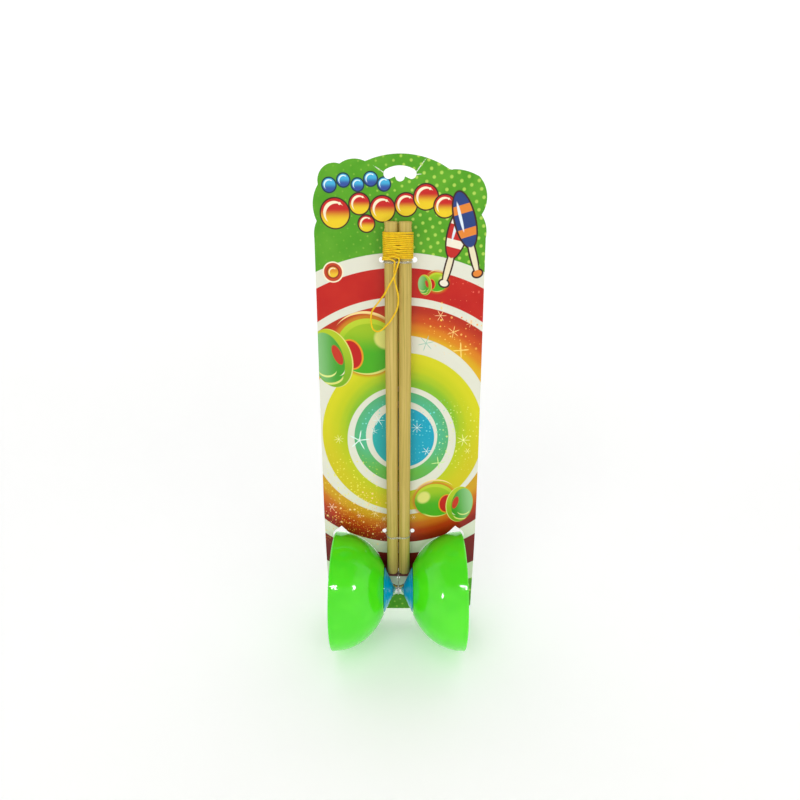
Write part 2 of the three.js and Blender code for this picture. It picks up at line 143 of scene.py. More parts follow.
def add_mesh(name, points, faces, sharp_angle=35):
    """A smooth-shaded mesh with outward faces, from points in millimetres."""
    mesh = bpy.data.meshes.new(name)
    mesh.from_pydata([Vector(p) * MM for p in points], [], faces)
    form = bmesh.new()
    form.from_mesh(mesh)
    bmesh.ops.recalc_face_normals(form, faces=form.faces)
    form.to_mesh(mesh)
    form.free()
    mesh.polygons.foreach_set("use_smooth", [True] * len(mesh.polygons))
    mesh.set_sharp_from_angle(angle=math.radians(sharp_angle))
    return add_object(name, mesh)


def settle(piece, body, nodes, slot, *materials):
    """Puts a finished piece on its body, in place of its CAD nodes."""
    piece.data.materials.clear()
    for material in materials:
        piece.data.materials.append(material)
    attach(piece, body)
    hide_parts(*nodes)


def capped_faces(rings, around):
    """The faces of a closed tube: quads between its rings of points, and an end cap on each end ring."""
    faces = ring_faces(rings, around, False)
    faces.append(tuple(range(around)))
    faces.append(tuple(rings * around - 1 - k for k in range(around)))
    return faces


def tipped(points, around, tips):
    """Points and faces of rings closed at both ends with a fan of triangles to a tip."""
    rings = len(points) // around
    faces = ring_faces(rings, around, False)
    for i, first in enumerate((0, (rings - 1) * around)):
        tip = rings * around + i
        faces += [(tip, first + k, first + (k + 1) % around) for k in range(around)]
    return [*points, *tips], faces


def ring_faces(rings, around, closed):
    """Quads between rings of points that follow each other, and between the last and first if closed."""
    faces = []
    for i in range(rings if closed else rings - 1):
        j = (i + 1) % rings
        for k in range(around):
            m = (k + 1) % around
            faces.append((i * around + k, i * around + m, j * around + m, j * around + k))
    return faces


def filleted(profile, radius, steps=4, closed=True):
    """A profile of (x, r) with its corners rounded."""
    points = [Vector(p) for p in profile]
    rounded = []
    for i, corner in enumerate(points):
        if not closed and i in (0, len(points) - 1):
            rounded.append(corner)
            continue
        before = points[i - 1] - corner
        after = points[(i + 1) % len(points)] - corner
        if min(before.length, after.length) < 1e-6 or before.angle(after) > math.radians(165):
            rounded.append(corner)
            continue
        start = corner + before.normalized() * min(radius, before.length * 0.45)
        end = corner + after.normalized() * min(radius, after.length * 0.45)
        for k in range(steps + 1):
            t = k / steps
            rounded.append(start * (1 - t) ** 2 + corner * 2 * t * (1 - t) + end * t ** 2)
    return rounded


def full_turn(steps):
    """The angles of evenly spaced steps round a circle."""
    return [2 * math.pi * k / steps for k in range(steps)]


def turned(name, profile, segments=96, side=1, centre=AXLE, sharp_angle=35):
    """A closed profile of (x, r) turned about the diabolo's axle."""
    points = []
    for x, r in profile:
        for angle in full_turn(segments):
            up, back = r * math.cos(angle), r * math.sin(angle)
            points.append((centre.x + side * x, centre.y + back, centre.z + up))
    return add_mesh(name, points, ring_faces(len(profile), segments, True), sharp_angle)


def between(start, end, leave, arrive, t):
    """A point on the cubic curve that leaves one point and arrives at another in the given directions."""
    return (
        start * (2 * t ** 3 - 3 * t ** 2 + 1) + leave * (t ** 3 - 2 * t ** 2 + t)
        + end * (3 * t ** 2 - 2 * t ** 3) + arrive * (t ** 3 - t ** 2)
    )


def resampled(points, spacing, closed=False):
    """Evenly spaced points along a smooth curve through the given points."""
    points = [Vector(p) for p in points]
    if closed:
        points = points[-2:] + points + points[:2]
    else:
        points = [2 * points[0] - points[1]] + points + [2 * points[-1] - points[-2]]
    times = [0]
    for a, b in zip(points, points[1:]):
        times.append(times[-1] + math.sqrt((b - a).length))
    dense = []
    last = len(points) - (3 if closed else 2)
    for i in range(2 if closed else 1, last):
        p, q = points[i], points[i + 1]
        gap = times[i + 1] - times[i]
        leave = (q - points[i - 1]) / (times[i + 1] - times[i - 1]) * gap
        arrive = (points[i + 2] - p) / (times[i + 2] - times[i]) * gap
        steps = max(2, math.ceil((q - p).length / spacing * 3))
        dense += [between(p, q, leave, arrive, k / steps) for k in range(steps)]
    dense.append(points[last])
    travelled = [0]
    for a, b in zip(dense, dense[1:]):
        travelled.append(travelled[-1] + (b - a).length)
    count = round(travelled[-1] / spacing)
    even = []
    at = 0
    for k in range(count + 1):
        goal = travelled[-1] * k / count
        while at < len(dense) - 2 and travelled[at + 1] < goal:
            at += 1
        stretch = travelled[at + 1] - travelled[at]
        even.append(dense[at].lerp(dense[at + 1], (goal - travelled[at]) / stretch if stretch else 0))
    return even[:-1] if closed else even


def relaxed(points, passes):
    """The path with its kinks averaged out, its ends kept."""
    for _ in range(passes):
        inner = [(a + 2 * b + c) / 4 for a, b, c in zip(points, points[1:], points[2:])]
        points = [points[0], *inner, points[-1]]
    return points


def swept(path, section, closed=False, across=None, twist=0, swell=None):
    """Points of a section of (side, up) offsets carried along a path.

    `across` keeps the section's second axis near one direction. Without it the section doesn't turn about
    the path, apart from `twist`, in radians for each millimetre. `swell` scales the section along the path.
    """
    points = []
    count = len(path)
    up = None
    travelled = 0
    for i, place in enumerate(path):
        after = path[(i + 1) % count] if closed or i < count - 1 else place
        before = path[i - 1] if closed or i > 0 else place
        tangent = (after - before).normalized()
        if i:
            travelled += (place - path[i - 1]).length
        if across is not None:
            up = across
        elif up is None:
            up = tangent.orthogonal()
        up = (up - tangent * up.dot(tangent)).normalized()
        sideways = tangent.cross(up)
        turn = twist * travelled
        scale = swell(i / count) if swell else 1
        for u, v in section:
            a = u * math.cos(turn) - v * math.sin(turn)
            b = u * math.sin(turn) + v * math.cos(turn)
            points.append(place + sideways * a * scale + up * b * scale)
    return points


def oval(half_width, half_height, segments, power=2.0):
    """A closed section: an ellipse, or a rounder-cornered box as the power rises above 2."""
    section = []
    for angle in full_turn(segments):
        c, s = math.cos(angle), math.sin(angle)
        section.append((
            math.copysign(abs(c) ** (2 / power), c) * half_width,
            math.copysign(abs(s) ** (2 / power), s) * half_height,
        ))
    return section


# ---------------------------------------------------------------- Materials

def ink(red, green, blue):
    """A screen colour from 0 to 255, as the linear colour that a shader takes."""
    parts = []
    for part in (red, green, blue):
        share = part / 255
        parts.append(share / 12.92 if share <= 0.04045 else ((share + 0.055) / 1.055) ** 2.4)
    return (*parts, 1)


class Look:
    """A material made of a Principled shader and the nodes that feed it."""

    def __init__(self, name, **constants):
        self.material = bpy.data.materials.new(name)
        self.material.use_nodes = True
        self.tree = self.material.node_tree
        self.shader = self.tree.nodes["Principled BSDF"]
        for key, value in constants.items():
            self.shader.inputs[key.replace("_", " ")].default_value = value
        place = self.node("ShaderNodeTexCoord").outputs["Object"]
        self.place = self.node("ShaderNodeVectorMath", {0: place, 3: 1 / MM}, operation="SCALE").outputs[0]

    def node(self, kind, inputs=None, **settings):
        made = self.tree.nodes.new(kind)
        for key, value in settings.items():
            setattr(made, key, value)
        for key, value in (inputs or {}).items():
            if isinstance(value, bpy.types.NodeSocket):
                self.tree.links.new(value, made.inputs[key])
            else:
                made.inputs[key].default_value = value
        return made

    def feed(self, name, value):
        self.tree.links.new(value, self.shader.inputs[name])

    def maths(self, operation, *values):
        return self.node("ShaderNodeMath", dict(enumerate(values)), operation=operation).outputs[0]

    def vectors(self, operation, *values):
        made = self.node("ShaderNodeVectorMath", dict(enumerate(values)), operation=operation)
        return made.outputs["Value" if operation in ("DISTANCE", "LENGTH", "DOT_PRODUCT") else "Vector"]

    def along(self, vector, x=0.0, y=0.0, z=0.0):
        """How far a point lies in a direction: with a 1, one of its coordinates."""
        return self.vectors("DOT_PRODUCT", vector, (x, y, z))

    def fade(self, value, start, end, low=0.0, high=1.0):
        """Runs smoothly from low to high as the value runs from start to end, and stays in that range."""
        inputs = {"Value": value, "From Min": start, "From Max": end, "To Min": low, "To Max": high}
        made = self.node("ShaderNodeMapRange", inputs, interpolation_type="SMOOTHSTEP", clamp=False)
        return made.outputs[0]

    def mix(self, share, first, second):
        inputs = {0: share, 6: first, 7: second}
        return self.node("ShaderNodeMix", inputs, data_type="RGBA").outputs[2]

    def ramp(self, value, *stops):
        """A colour that runs through its stops, each a (value, colour)."""
        colour = stops[0][1]
        for (start, _), (end, following) in zip(stops, stops[1:]):
            colour = self.mix(self.fade(value, start, end), colour, following)
        return colour

    def scaled(self, x, y, z):
        return self.vectors("MULTIPLY", self.place, (x, y, z))

    def noise(self, vector, scale=1.0, detail=3.0, roughness=0.5, distortion=0.0):
        inputs = {"Vector": vector, "Scale": scale, "Detail": detail, "Roughness": roughness,
                  "Distortion": distortion}
        return self.node("ShaderNodeTexNoise", inputs).outputs[0]

    def relief(self, *layers):
        """Bumps, each a (height, depth in millimetres), one on top of the other."""
        normal = None
        for height, depth in layers:
            inputs = {"Height": height, "Strength": 1.0, "Distance": depth * MM}
            if normal is not None:
                inputs["Normal"] = normal
            normal = self.node("ShaderNodeBump", inputs).outputs[0]
        self.feed("Normal", normal)


def plastic(name, colour, shade, **constants):
    """Moulded plastic: slight colour drift, faint flow marks and a fine satin grain."""
    look = Look(name, **constants)
    drift = look.noise(look.place, 0.035, 2)
    look.feed("Base Color", look.mix(look.fade(drift, 0.35, 0.65), colour, shade))
    flow = look.noise(look.scaled(0.5, 0.06, 0.06), 1, 3, 0.6, 0.4)
    grain = look.noise(look.place, 3.5, 2)
    look.feed("Roughness", look.fade(flow, 0.3, 0.7, 0.05, 0.1))
    look.relief((flow, 0.03), (grain, 0.003))
    return look.material


def steel_look():
    """Bright plated steel with fine rings left by the lathe."""
    look = Look("plated_steel_fine", Metallic=1.0)
    rings = look.noise(look.scaled(9.0, 0.05, 0.05), 1, 2)
    cloud = look.noise(look.place, 0.6, 3)
    look.feed("Base Color", look.mix(cloud, ink(226, 228, 228), ink(188, 190, 190)))
    look.feed("Roughness", look.fade(cloud, 0.3, 0.7, 0.1, 0.24))
    look.relief((rings, 0.02))
    return look.material


def nylon_look():
    """Clear nylon, a little cloudy."""
    look = Look("clear_nylon_fine", Transmission_Weight=0.8, IOR=1.4)
    cloud = look.noise(look.place, 1.5, 3)
    look.feed("Base Color", look.mix(cloud, ink(250, 250, 244), ink(232, 236, 228)))
    look.feed("Roughness", look.fade(cloud, 0.3, 0.7, 0.12, 0.3))
    look.relief((look.noise(look.place, 4, 2), 0.02))
    return look.material


def wood_look():
    """Sanded dowel: growth rings round a far-off pith, long streaks and short dark pores."""
    look = Look("stick_wood_fine", Specular_IOR_Level=0.3)
    wander = look.noise(look.scaled(0.12, 0.12, 0.012), 1, 3)
    x, y = look.along(look.place, x=1), look.along(look.place, y=1)
    pith = look.node("ShaderNodeCombineXYZ", {
        0: look.maths("ADD", x, look.fade(wander, 0, 1, 14, 24)),
        1: look.maths("ADD", y, look.fade(wander, 0, 1, -22, -14)),
    }).outputs[0]
    rings = look.maths("FRACT", look.maths("MULTIPLY", look.vectors("LENGTH", pith), 0.42))
    streaks = look.noise(look.scaled(1.1, 1.1, 0.014), 1, 4, 0.6)
    fibres = look.noise(look.scaled(5.5, 5.5, 0.09), 1, 3, 0.6)
    pale = look.ramp(
        streaks, (0.3, ink(172, 152, 68)), (0.48, ink(198, 174, 88)), (0.7, ink(212, 186, 108)),
    )
    ringed = look.mix(look.fade(rings, 0.55, 1.0, 0, 0.32), pale, ink(160, 138, 62))
    pores = look.fade(fibres, 0.62, 0.76, 0, 0.5)
    look.feed("Base Color", look.mix(pores, ringed, ink(128, 104, 48)))
    look.feed("Roughness", look.fade(streaks, 0.3, 0.7, 0.5, 0.68))
    look.relief((fibres, 0.06), (streaks, 0.05))
    return look.material


def string_look():
    """Twisted nylon: fine fibres that run with the strands, with painted highlights along them."""
    look = Look("string_yellow_fine", Sheen_Weight=0.05, Sheen_Roughness=0.4, Specular_IOR_Level=0.3,
                Subsurface_Weight=0.15, Subsurface_Scale=0.0008)
    along = look.node("ShaderNodeUVMap", uv_map="strand").outputs[0]
    stretched = look.vectors("MULTIPLY", along, (26.0, 1.2, 1.0))
    fibres = look.noise(stretched, 1, 3, 0.6)
    patches = look.noise(look.place, 0.35, 2)
    lively = look.mix(look.fade(patches, 0.35, 0.65), ink(232, 184, 0), ink(246, 202, 4))
    # The lighter yellow laid along the fibres is a painted highlight; the fibres' bumps are real relief.
    look.feed("Base Color", look.mix(look.fade(fibres, 0.35, 0.7, 0, 0.45), lively, ink(255, 222, 36)))
    look.feed("Roughness", look.fade(fibres, 0.3, 0.7, 0.38, 0.6))
    look.relief((fibres, 0.09))
    return look.material


def board_look(name, colour, fibre):
    """Bare paper board with short fibres."""
    look = Look(name, Roughness=0.85, Specular_IOR_Level=0.3)
    fibres = look.noise(look.scaled(2.2, 2.2, 1.1), 1, 5, 0.65, 1.5)
    look.feed("Base Color", look.mix(look.fade(fibres, 0.4, 0.75), colour, fibre))
    look.relief((fibres, 0.05))
    return look.material


# ---------------------------------------------------------------- The card's print

WHITE = ink(228, 228, 210)
GREEN = ink(76, 158, 8)
RED = ink(192, 12, 0)
# Red darkened with painted shade, for the red ring's lower arc between the cups.
CUP_SHADE_RED = ink(132, 18, 14)
OUTLINE = ink(56, 22, 10)
CREAM = ink(252, 240, 205)
EDGE = 0.16
STRIPS = (20, -48, -96, -152, -240, -400)
STRIP_MARGIN = 5


def placed(x, y, wide=1.0, high=1.0, turn=0.0, inside=None):
    """The matrix from the sheet's (x, y, 1) to a shape's own coordinates, 1 at its half sizes."""
    spin = Matrix.Rotation(math.radians(turn), 3, "Z")
    shape = Matrix(((1, 0, x), (0, 1, y), (0, 0, 1))) @ spin @ Matrix.Diagonal((wide, high, 1))
    return shape.inverted() @ (inside or Matrix.Identity(3))


class Print(Look):
    """Inks laid over one another on a strip of the card, each through a mask.

    In here x runs right and y runs up the card. A shader's memory holds so many masks only if each is
    worked out just before its ink is laid. Cycles leaves clamps, Mapping nodes and links between a vector
    and a colour to the end, so they aren't used. For the same reason the card is printed in strips, and
    each strip leaves out the figures that don't reach it.
    """

    def __init__(self, name, low, high):
        super().__init__(name, Specular_IOR_Level=0.35)
        self.low = low - STRIP_MARGIN
        self.high = high + STRIP_MARGIN
        across, up = self.along(self.place, x=1), self.along(self.place, z=1)
        self.sheet = self.node("ShaderNodeCombineXYZ", {0: across, 1: up, 2: 1.0}).outputs[0]
        self.colour = WHITE
        self.grains = {}

    def misses(self, y, reach):
        return y + reach < self.low or y - reach > self.high

    def distance(self, x, y):
        return self.vectors("DISTANCE", self.sheet, (x, y, 1))

    def squared(self, space):
        """The squared distance from a shape's own centre."""
        u, v = self.along(self.sheet, *space[0]), self.along(self.sheet, *space[1])
        return self.maths("MULTIPLY_ADD", u, u, self.maths("MULTIPLY", v, v))

    def disc(self, x, y, radius, soft=EDGE):
        return self.fade(self.distance(x, y), radius + soft, radius - soft)

    def ellipse(self, x, y, wide, high, turn=0.0, soft=EDGE, inside=None):
        edge = soft / min(wide, high)
        reach = self.squared(placed(x, y, wide, high, turn, inside))
        return self.fade(reach, (1 + edge) ** 2, (1 - edge) ** 2)

    def arched(self, centre_y, upper, lower):
        """A disc on the card's centre line whose upper and lower halves have their own radii."""
        radius = self.fade(self.along(self.sheet, y=1), centre_y - EDGE, centre_y + EDGE, lower, upper)
        return self.fade(self.maths("SUBTRACT", self.distance(0, centre_y), radius), EDGE, -EDGE)

    def both(self, first, second):
        return self.maths("MULTIPLY", first, second)

    def without(self, first, second):
        return self.maths("MULTIPLY", first, self.maths("SUBTRACT", 1.0, second))

    def lay(self, mask, colour):
        self.colour = self.mix(mask, self.colour, colour)

    def shaded_disc(self, x, y, radius, top, bottom, outline=OUTLINE, glint=CREAM):
        """A ball with a dark outline, a colour gradient from top to bottom, and a curved highlight."""
        if self.misses(y, radius + 2):
            return
        self.lay(self.disc(x, y, radius + 1.0), outline)
        height = self.fade(self.along(self.sheet, y=1), y - 0.85 * radius, y + 0.9 * radius)
        body = self.mix(self.fade(height, 0.05, 0.75), bottom, top)
        self.lay(self.disc(x, y, radius), body)
        arc = self.without(
            self.disc(x - 0.05 * radius, y + 0.05 * radius, 0.78 * radius),
            self.disc(x + 0.12 * radius, y - 0.12 * radius, 0.78 * radius),
        )
        self.lay(arc, glint)
        self.lay(self.disc(x + 0.34 * radius, y + 0.66 * radius, 0.1 * radius), glint)

    def star(self, x, y, reach, colour, rays=6, turn=0.0):
        """A thin-rayed sparkle."""
        if self.misses(y, reach):
            return
        space = placed(x, y, 1, 1, turn)
        u, v = self.along(self.sheet, *space[0]), self.along(self.sheet, *space[1])
        angle = self.maths("MULTIPLY", self.maths("ARCTAN2", v, u), rays / 2)
        spike = self.maths("POWER", self.maths("ABSOLUTE", self.maths("COSINE", angle)), 22.0)
        edge = self.maths("MULTIPLY_ADD", spike, 0.78 * reach, 0.14 * reach)
        past = self.maths("SUBTRACT", self.distance(x, y), edge)
        self.lay(self.fade(past, 0.1 * reach, -0.14 * reach), colour)

    def specks(self, cell, largest, x, y, wide, high, turn, colour):
        """Round dots of mixed sizes, scattered in a soft-edged oval."""
        if self.misses(y, 1.5 * max(wide, high)):
            return
        where = self.ellipse(x, y, wide, high, turn=turn, soft=min(wide, high) * 0.5)
        if cell not in self.grains:
            inputs = {"Vector": self.sheet, "Scale": 1 / cell, "Randomness": 1.0}
            made = self.node("ShaderNodeTexVoronoi", inputs, voronoi_dimensions="2D")
            chance = self.node("ShaderNodeSeparateColor", {0: made.outputs["Color"]}).outputs[0]
            self.grains[cell] = made.outputs["Distance"], self.maths("POWER", chance, 2.5)
        distance, share = self.grains[cell]
        far = self.maths("MULTIPLY_ADD", share, -largest / cell, distance)
        dots = self.fade(far, 0.12 / cell, -0.12 / cell, 0, 0.9)
        self.lay(self.both(dots, where), colour)

    def dot_rows(self):
        """Pale dots in slanting rows over the green, larger and brighter towards the right."""
        along, down = Vector((7.2, -2.7)), Vector((-5.2, -2.9))
        grid = Matrix(((along.x, down.x, 2.6), (along.y, down.y, 5.0), (0, 0, 1))).inverted()
        first, second = self.along(self.sheet, *grid[0]), self.along(self.sheet, *grid[1])
        first = self.maths("SUBTRACT", first, self.maths("ROUND", first))
        second = self.maths("SUBTRACT", second, self.maths("ROUND", second))
        squares = []
        for a, b in zip(along, down):
            offset = self.maths("MULTIPLY_ADD", first, a, self.maths("MULTIPLY", second, b))
            squares.append(self.maths("MULTIPLY", offset, offset))
        x = self.along(self.sheet, x=1)
        radius = self.fade(x, -45, 35, 0.45, 1.15)
        far = self.maths("SUBTRACT", self.maths("SQRT", self.maths("ADD", *squares)), radius)
        dots = self.fade(far, 0.5, -0.45)
        self.lay(self.both(dots, self.fade(x, -62, 20, 0.1, 0.75)), ink(196, 226, 92))

    def printed_diabolo(self, x, y, size, turn=0.0, mirror=1):
        """A small cartoon of a diabolo: a far cup, its red middle, and a near cup seen into its mouth."""
        if self.misses(y, 2.4 * size):
            return
        space = placed(x, y, size * mirror, size, turn)

        def spot(*shape, turn=0.0, more_soft=1):
            return self.ellipse(*shape, turn=turn, inside=space, soft=EDGE * more_soft / size)

        pale, lime, leaf = ink(226, 226, 120), ink(160, 196, 14), ink(72, 174, 10)
        height = self.along(self.sheet, *space[1])
        far_cup = spot(0.98, 0.2, 1.2, 1.12)
        arc = self.without(spot(0.9, 0.36, 1.3, 1.24), spot(0.84, 0.26, 1.32, 1.24))
        self.lay(self.both(arc, self.fade(height, 0.5, 1.4)), ink(252, 226, 150))
        self.lay(spot(0.98, 0.24, 1.32, 1.22, more_soft=12), ink(206, 130, 12))
        self.lay(far_cup, self.mix(self.fade(height, -0.1, 1.0), leaf, lime))
        ring = self.without(far_cup, spot(1.04, 0.12, 1.1, 1.0, more_soft=3))
        self.lay(self.both(ring, self.fade(height, 0.2, 1.2)), ink(190, 212, 40))
        self.lay(self.both(far_cup, spot(1.62, 0.5, 0.4, 0.34, turn=-40, more_soft=8)), pale)
        bottom = self.without(spot(0.98, 0.2, 1.2, 1.12), spot(0.9, 0.27, 1.22, 1.13))
        self.lay(self.both(bottom, self.fade(height, -0.5, -0.8)), pale)
        self.lay(spot(0.34, -0.1, 0.46, 0.62, turn=14, more_soft=2), ink(236, 150, 20))
        self.lay(spot(0.34, -0.1, 0.39, 0.56, turn=14), RED)
        rim = spot(-0.42, -0.27, 0.8, 1.2, turn=14)
        self.lay(rim, self.mix(self.fade(height, -1.4, 0.9), ink(120, 176, 20), ink(180, 202, 24)))
        self.lay(self.without(rim, spot(-0.46, -0.27, 0.79, 1.19, turn=14)), pale)
        bowl = spot(-0.58, -0.28, 0.62, 1.06, turn=14, more_soft=2)
        across = self.along(self.sheet, *space[0])
        self.lay(bowl, self.mix(self.fade(across, -1.3, -0.1), ink(150, 204, 140), ink(62, 160, 26)))
        self.lay(self.both(bowl, spot(-0.20, -0.12, 0.17, 0.42, turn=22, more_soft=2)), ink(200, 50, 20))
        shine = self.without(spot(-0.34, -0.2, 0.5, 0.8, turn=18), spot(-0.42, -0.22, 0.5, 0.8, turn=18))
        self.lay(self.both(self.both(bowl, shine), self.fade(across, -0.3, 0.0)), CREAM)
        low = self.without(spot(-0.62, -0.76, 0.36, 0.28), spot(-0.62, -0.68, 0.38, 0.28))
        self.lay(self.both(bowl, low), ink(226, 236, 140))
        foot = self.without(spot(-0.5, -1.0, 0.5, 0.34), spot(-0.54, -0.92, 0.52, 0.34))
        self.lay(self.both(self.both(rim, foot), self.fade(height, -0.9, -1.1)), pale)

    def club(self, x, y, length, turn, body, band):
        """A juggling club: a long bulb with two bands, a thin handle and a knob."""
        if self.misses(y, 0.6 * length):
            return
        space = placed(x, y, length, length, turn)

        def spot(*shape, **more):
            return self.ellipse(*shape, inside=space, soft=EDGE / length, **more)

        drawn = ink(238, 226, 190), band, body
        for grow, (handle, knob, bulb) in ((0.022, (OUTLINE, OUTLINE, OUTLINE)), (0, drawn)):
            self.lay(spot(0, -0.26, 0.034 + grow, 0.25 + grow), handle)
            self.lay(spot(0, -0.49, 0.055 + grow, 0.04 + grow), knob)
            self.lay(spot(0, 0.17, 0.118 + grow, 0.33 + grow), bulb)
        up = self.along(self.sheet, *space[1])
        shape = spot(0, 0.17, 0.118, 0.33)
        for height in (0.02, 0.30):
            stripe = self.fade(self.maths("ABSOLUTE", self.maths("SUBTRACT", up, height)), 0.052, 0.046)
            self.lay(self.both(shape, stripe), band)
        self.lay(spot(-0.045, 0.22, 0.018, 0.17), ink(228, 240, 250))


def printed_strip(name, low, high):
    """Everything printed on the card's face between two heights, from the bottom ink to the top one."""
    art = Print(name, low, high)
    x, y = art.along(art.sheet, x=1), art.along(art.sheet, y=1)
    mottle = art.noise(art.sheet, 0.05, 3)
    art.colour = art.mix(art.fade(mottle, 0.35, 0.7), GREEN, ink(92, 168, 24))
    art.dot_rows()

    arcs_y = -202
    art.lay(art.arched(arcs_y, 147, 161), WHITE)
    glow = art.fade(mottle, 0.3, 0.75)
    upper_red = art.mix(glow, RED, ink(200, 30, 6))
    # Below its centre the red ring lies behind and between the cups, and is printed darker there as painted
    # shade.
    shaded_lower_red = art.mix(glow, CUP_SHADE_RED, ink(108, 10, 12))
    red = art.mix(art.fade(y, arcs_y - 2, arcs_y + 2), shaded_lower_red, upper_red)
    art.lay(art.arched(arcs_y, 136, 144.5), red)
    art.lay(art.arched(arcs_y, 114, 119), WHITE)
    reach = art.distance(0, arcs_y)
    fire = art.ramp(
        art.fade(reach, 78, 109),
        (0.0, ink(224, 178, 4)), (0.32, ink(222, 132, 0)), (0.68, ink(206, 74, 0)), (1.0, ink(184, 36, 0)),
    )
    # The fire ring is printed darker below its centre than above it.
    lower_fire = art.ramp(
        art.fade(reach, 78, 109),
        (0.0, ink(210, 160, 8)), (0.3, ink(202, 104, 4)), (0.65, ink(180, 50, 2)), (1.0, ink(136, 18, 2)),
    )
    art.lay(art.arched(arcs_y, 108, 107), art.mix(art.fade(y, arcs_y - 10, arcs_y + 10), lower_fire, fire))

    art.lay(art.ellipse(-0.6, -198.9, 76.6, 81.3), WHITE)
    out = art.maths("SQRT", art.squared(placed(2.3, -203.7, 67, 71.9)))
    lime = art.ramp(
        art.fade(out, 0.62, 1.0),
        (0.0, ink(132, 190, 30)), (0.25, ink(172, 200, 16)), (0.55, ink(198, 206, 0)),
        (1.0, ink(216, 212, 8)),
    )
    warm = art.ramp(art.fade(out, 0.62, 1.0), (0.0, ink(190, 204, 0)), (1.0, ink(210, 198, 4)))
    art.lay(art.ellipse(2.3, -203.7, 67, 71.9), art.mix(art.fade(y, -232, -180), warm, lime))
    art.lay(art.ellipse(1.4, -208.3, 45.3, 48.3), WHITE)
    teal = art.mix(art.fade(y, -246, -205), ink(104, 186, 40), ink(78, 184, 140))
    near = art.maths("SQRT", art.squared(placed(1.2, -206, 39.3, 41.6)))
    teal = art.mix(art.fade(near, 0.78, 1.0, 0, 0.5), teal, ink(92, 176, 92))
    art.lay(art.ellipse(1.2, -206, 39.3, 41.6), teal)
    art.lay(art.ellipse(1.4, -204.3, 29.8, 31.7), WHITE)
    blue = art.mix(art.fade(x, -26, 12), ink(34, 172, 166), ink(0, 164, 192))
    art.lay(art.ellipse(2.8, -205.6, 25.8, 27.1), blue)

    dust(art)
    art.printed_diabolo(-45.4, -131.4, 20.4)
    art.printed_diabolo(45.3, -266.9, 14.8, turn=8, mirror=-1)
    art.printed_diabolo(21.6, -77.4, 6.4, turn=-6)
    sparkles(art)

    title_balls(art)
    art.club(40.0, -50.0, 58, -14, ink(196, 30, 24), ink(244, 236, 214))
    art.club(50.0, -42.0, 60, 16, ink(34, 62, 128), ink(232, 134, 44))
    creases(art)

    fine = art.noise(art.sheet, 2.4, 3)
    slow = art.noise(art.sheet, 0.06, 2)
    art.feed("Base Color", art.colour)
    art.feed("Roughness", art.fade(fine, 0.3, 0.7, 0.3, 0.4))
    art.relief((slow, 0.6), (fine, 0.008))
    return art.material


def title_balls(art):
    """A row of juggling balls across the card's top, and a round badge below them."""
    if not art.misses(-69.3, 8):
        art.lay(art.disc(-50.2, -69.3, 7.8), CREAM)
        art.lay(art.disc(-50.2, -69.3, 6.8), ink(196, 66, 22))
        art.shaded_disc(-50.2, -69.3, 3.9, ink(226, 150, 30), ink(240, 196, 40), ink(150, 36, 12))
    for x, y, radius in [
        (-47, -27.5, 10.2), (-29.2, -21, 7.0), (-24.4, -34.6, 5.6), (-12.6, -24.5, 8.6),
        (4.4, -21.6, 7.6), (18.6, -16.4, 8.4), (32.4, -22.6, 7.6),
    ]:
        art.shaded_disc(x, y, radius, ink(200, 24, 20), ink(240, 206, 24))
    blues = ink(64, 178, 222), ink(44, 78, 160), ink(20, 48, 70), ink(226, 246, 252)
    for x, y, radius in [
        (-50.5, -8.4, 4.6), (-40.2, -5.2, 4.2), (-30.2, -8.2, 4.0), (-20.8, -4.4, 4.4), (-11.4, -7.8, 4.2),
    ]:
        art.shaded_disc(x, y, radius, *blues)


def dust(art):
    """Sprays of glitter on the bright fields."""
    sprays = [
        ((-38, -284, 30, 20, 30), 1.7, 0.55, ink(250, 200, 70)),
        ((-40, -272, 34, 14, 30), 4.0, 0.95, ink(255, 226, 150)),
        ((-28, -300, 26, 14, 0), 4.0, 0.95, ink(255, 220, 150)),
        ((44, -112, 22, 18, -35), 4.0, 0.9, ink(255, 214, 90)),
        ((50, -96, 12, 20, 0), 4.0, 0.7, ink(236, 110, 90)),
        ((20, -190, 14, 12, 0), 2.8, 0.8, ink(120, 226, 226)),
        ((16, -214, 18, 12, 0), 2.8, 0.7, ink(110, 220, 220)),
        ((36, -206, 8, 26, 0), 2.8, 0.8, ink(150, 230, 190)),
        ((50, -206, 14, 26, 0), 2.8, 0.8, ink(238, 240, 120)),
        ((-42, -244, 20, 22, 40), 2.8, 0.8, ink(240, 236, 90)),
        ((-20, -190, 12, 14, 0), 2.8, 0.7, ink(140, 226, 214)),
    ]
    for place, cell, largest, colour in sprays:
        art.specks(cell, largest, *place, colour)


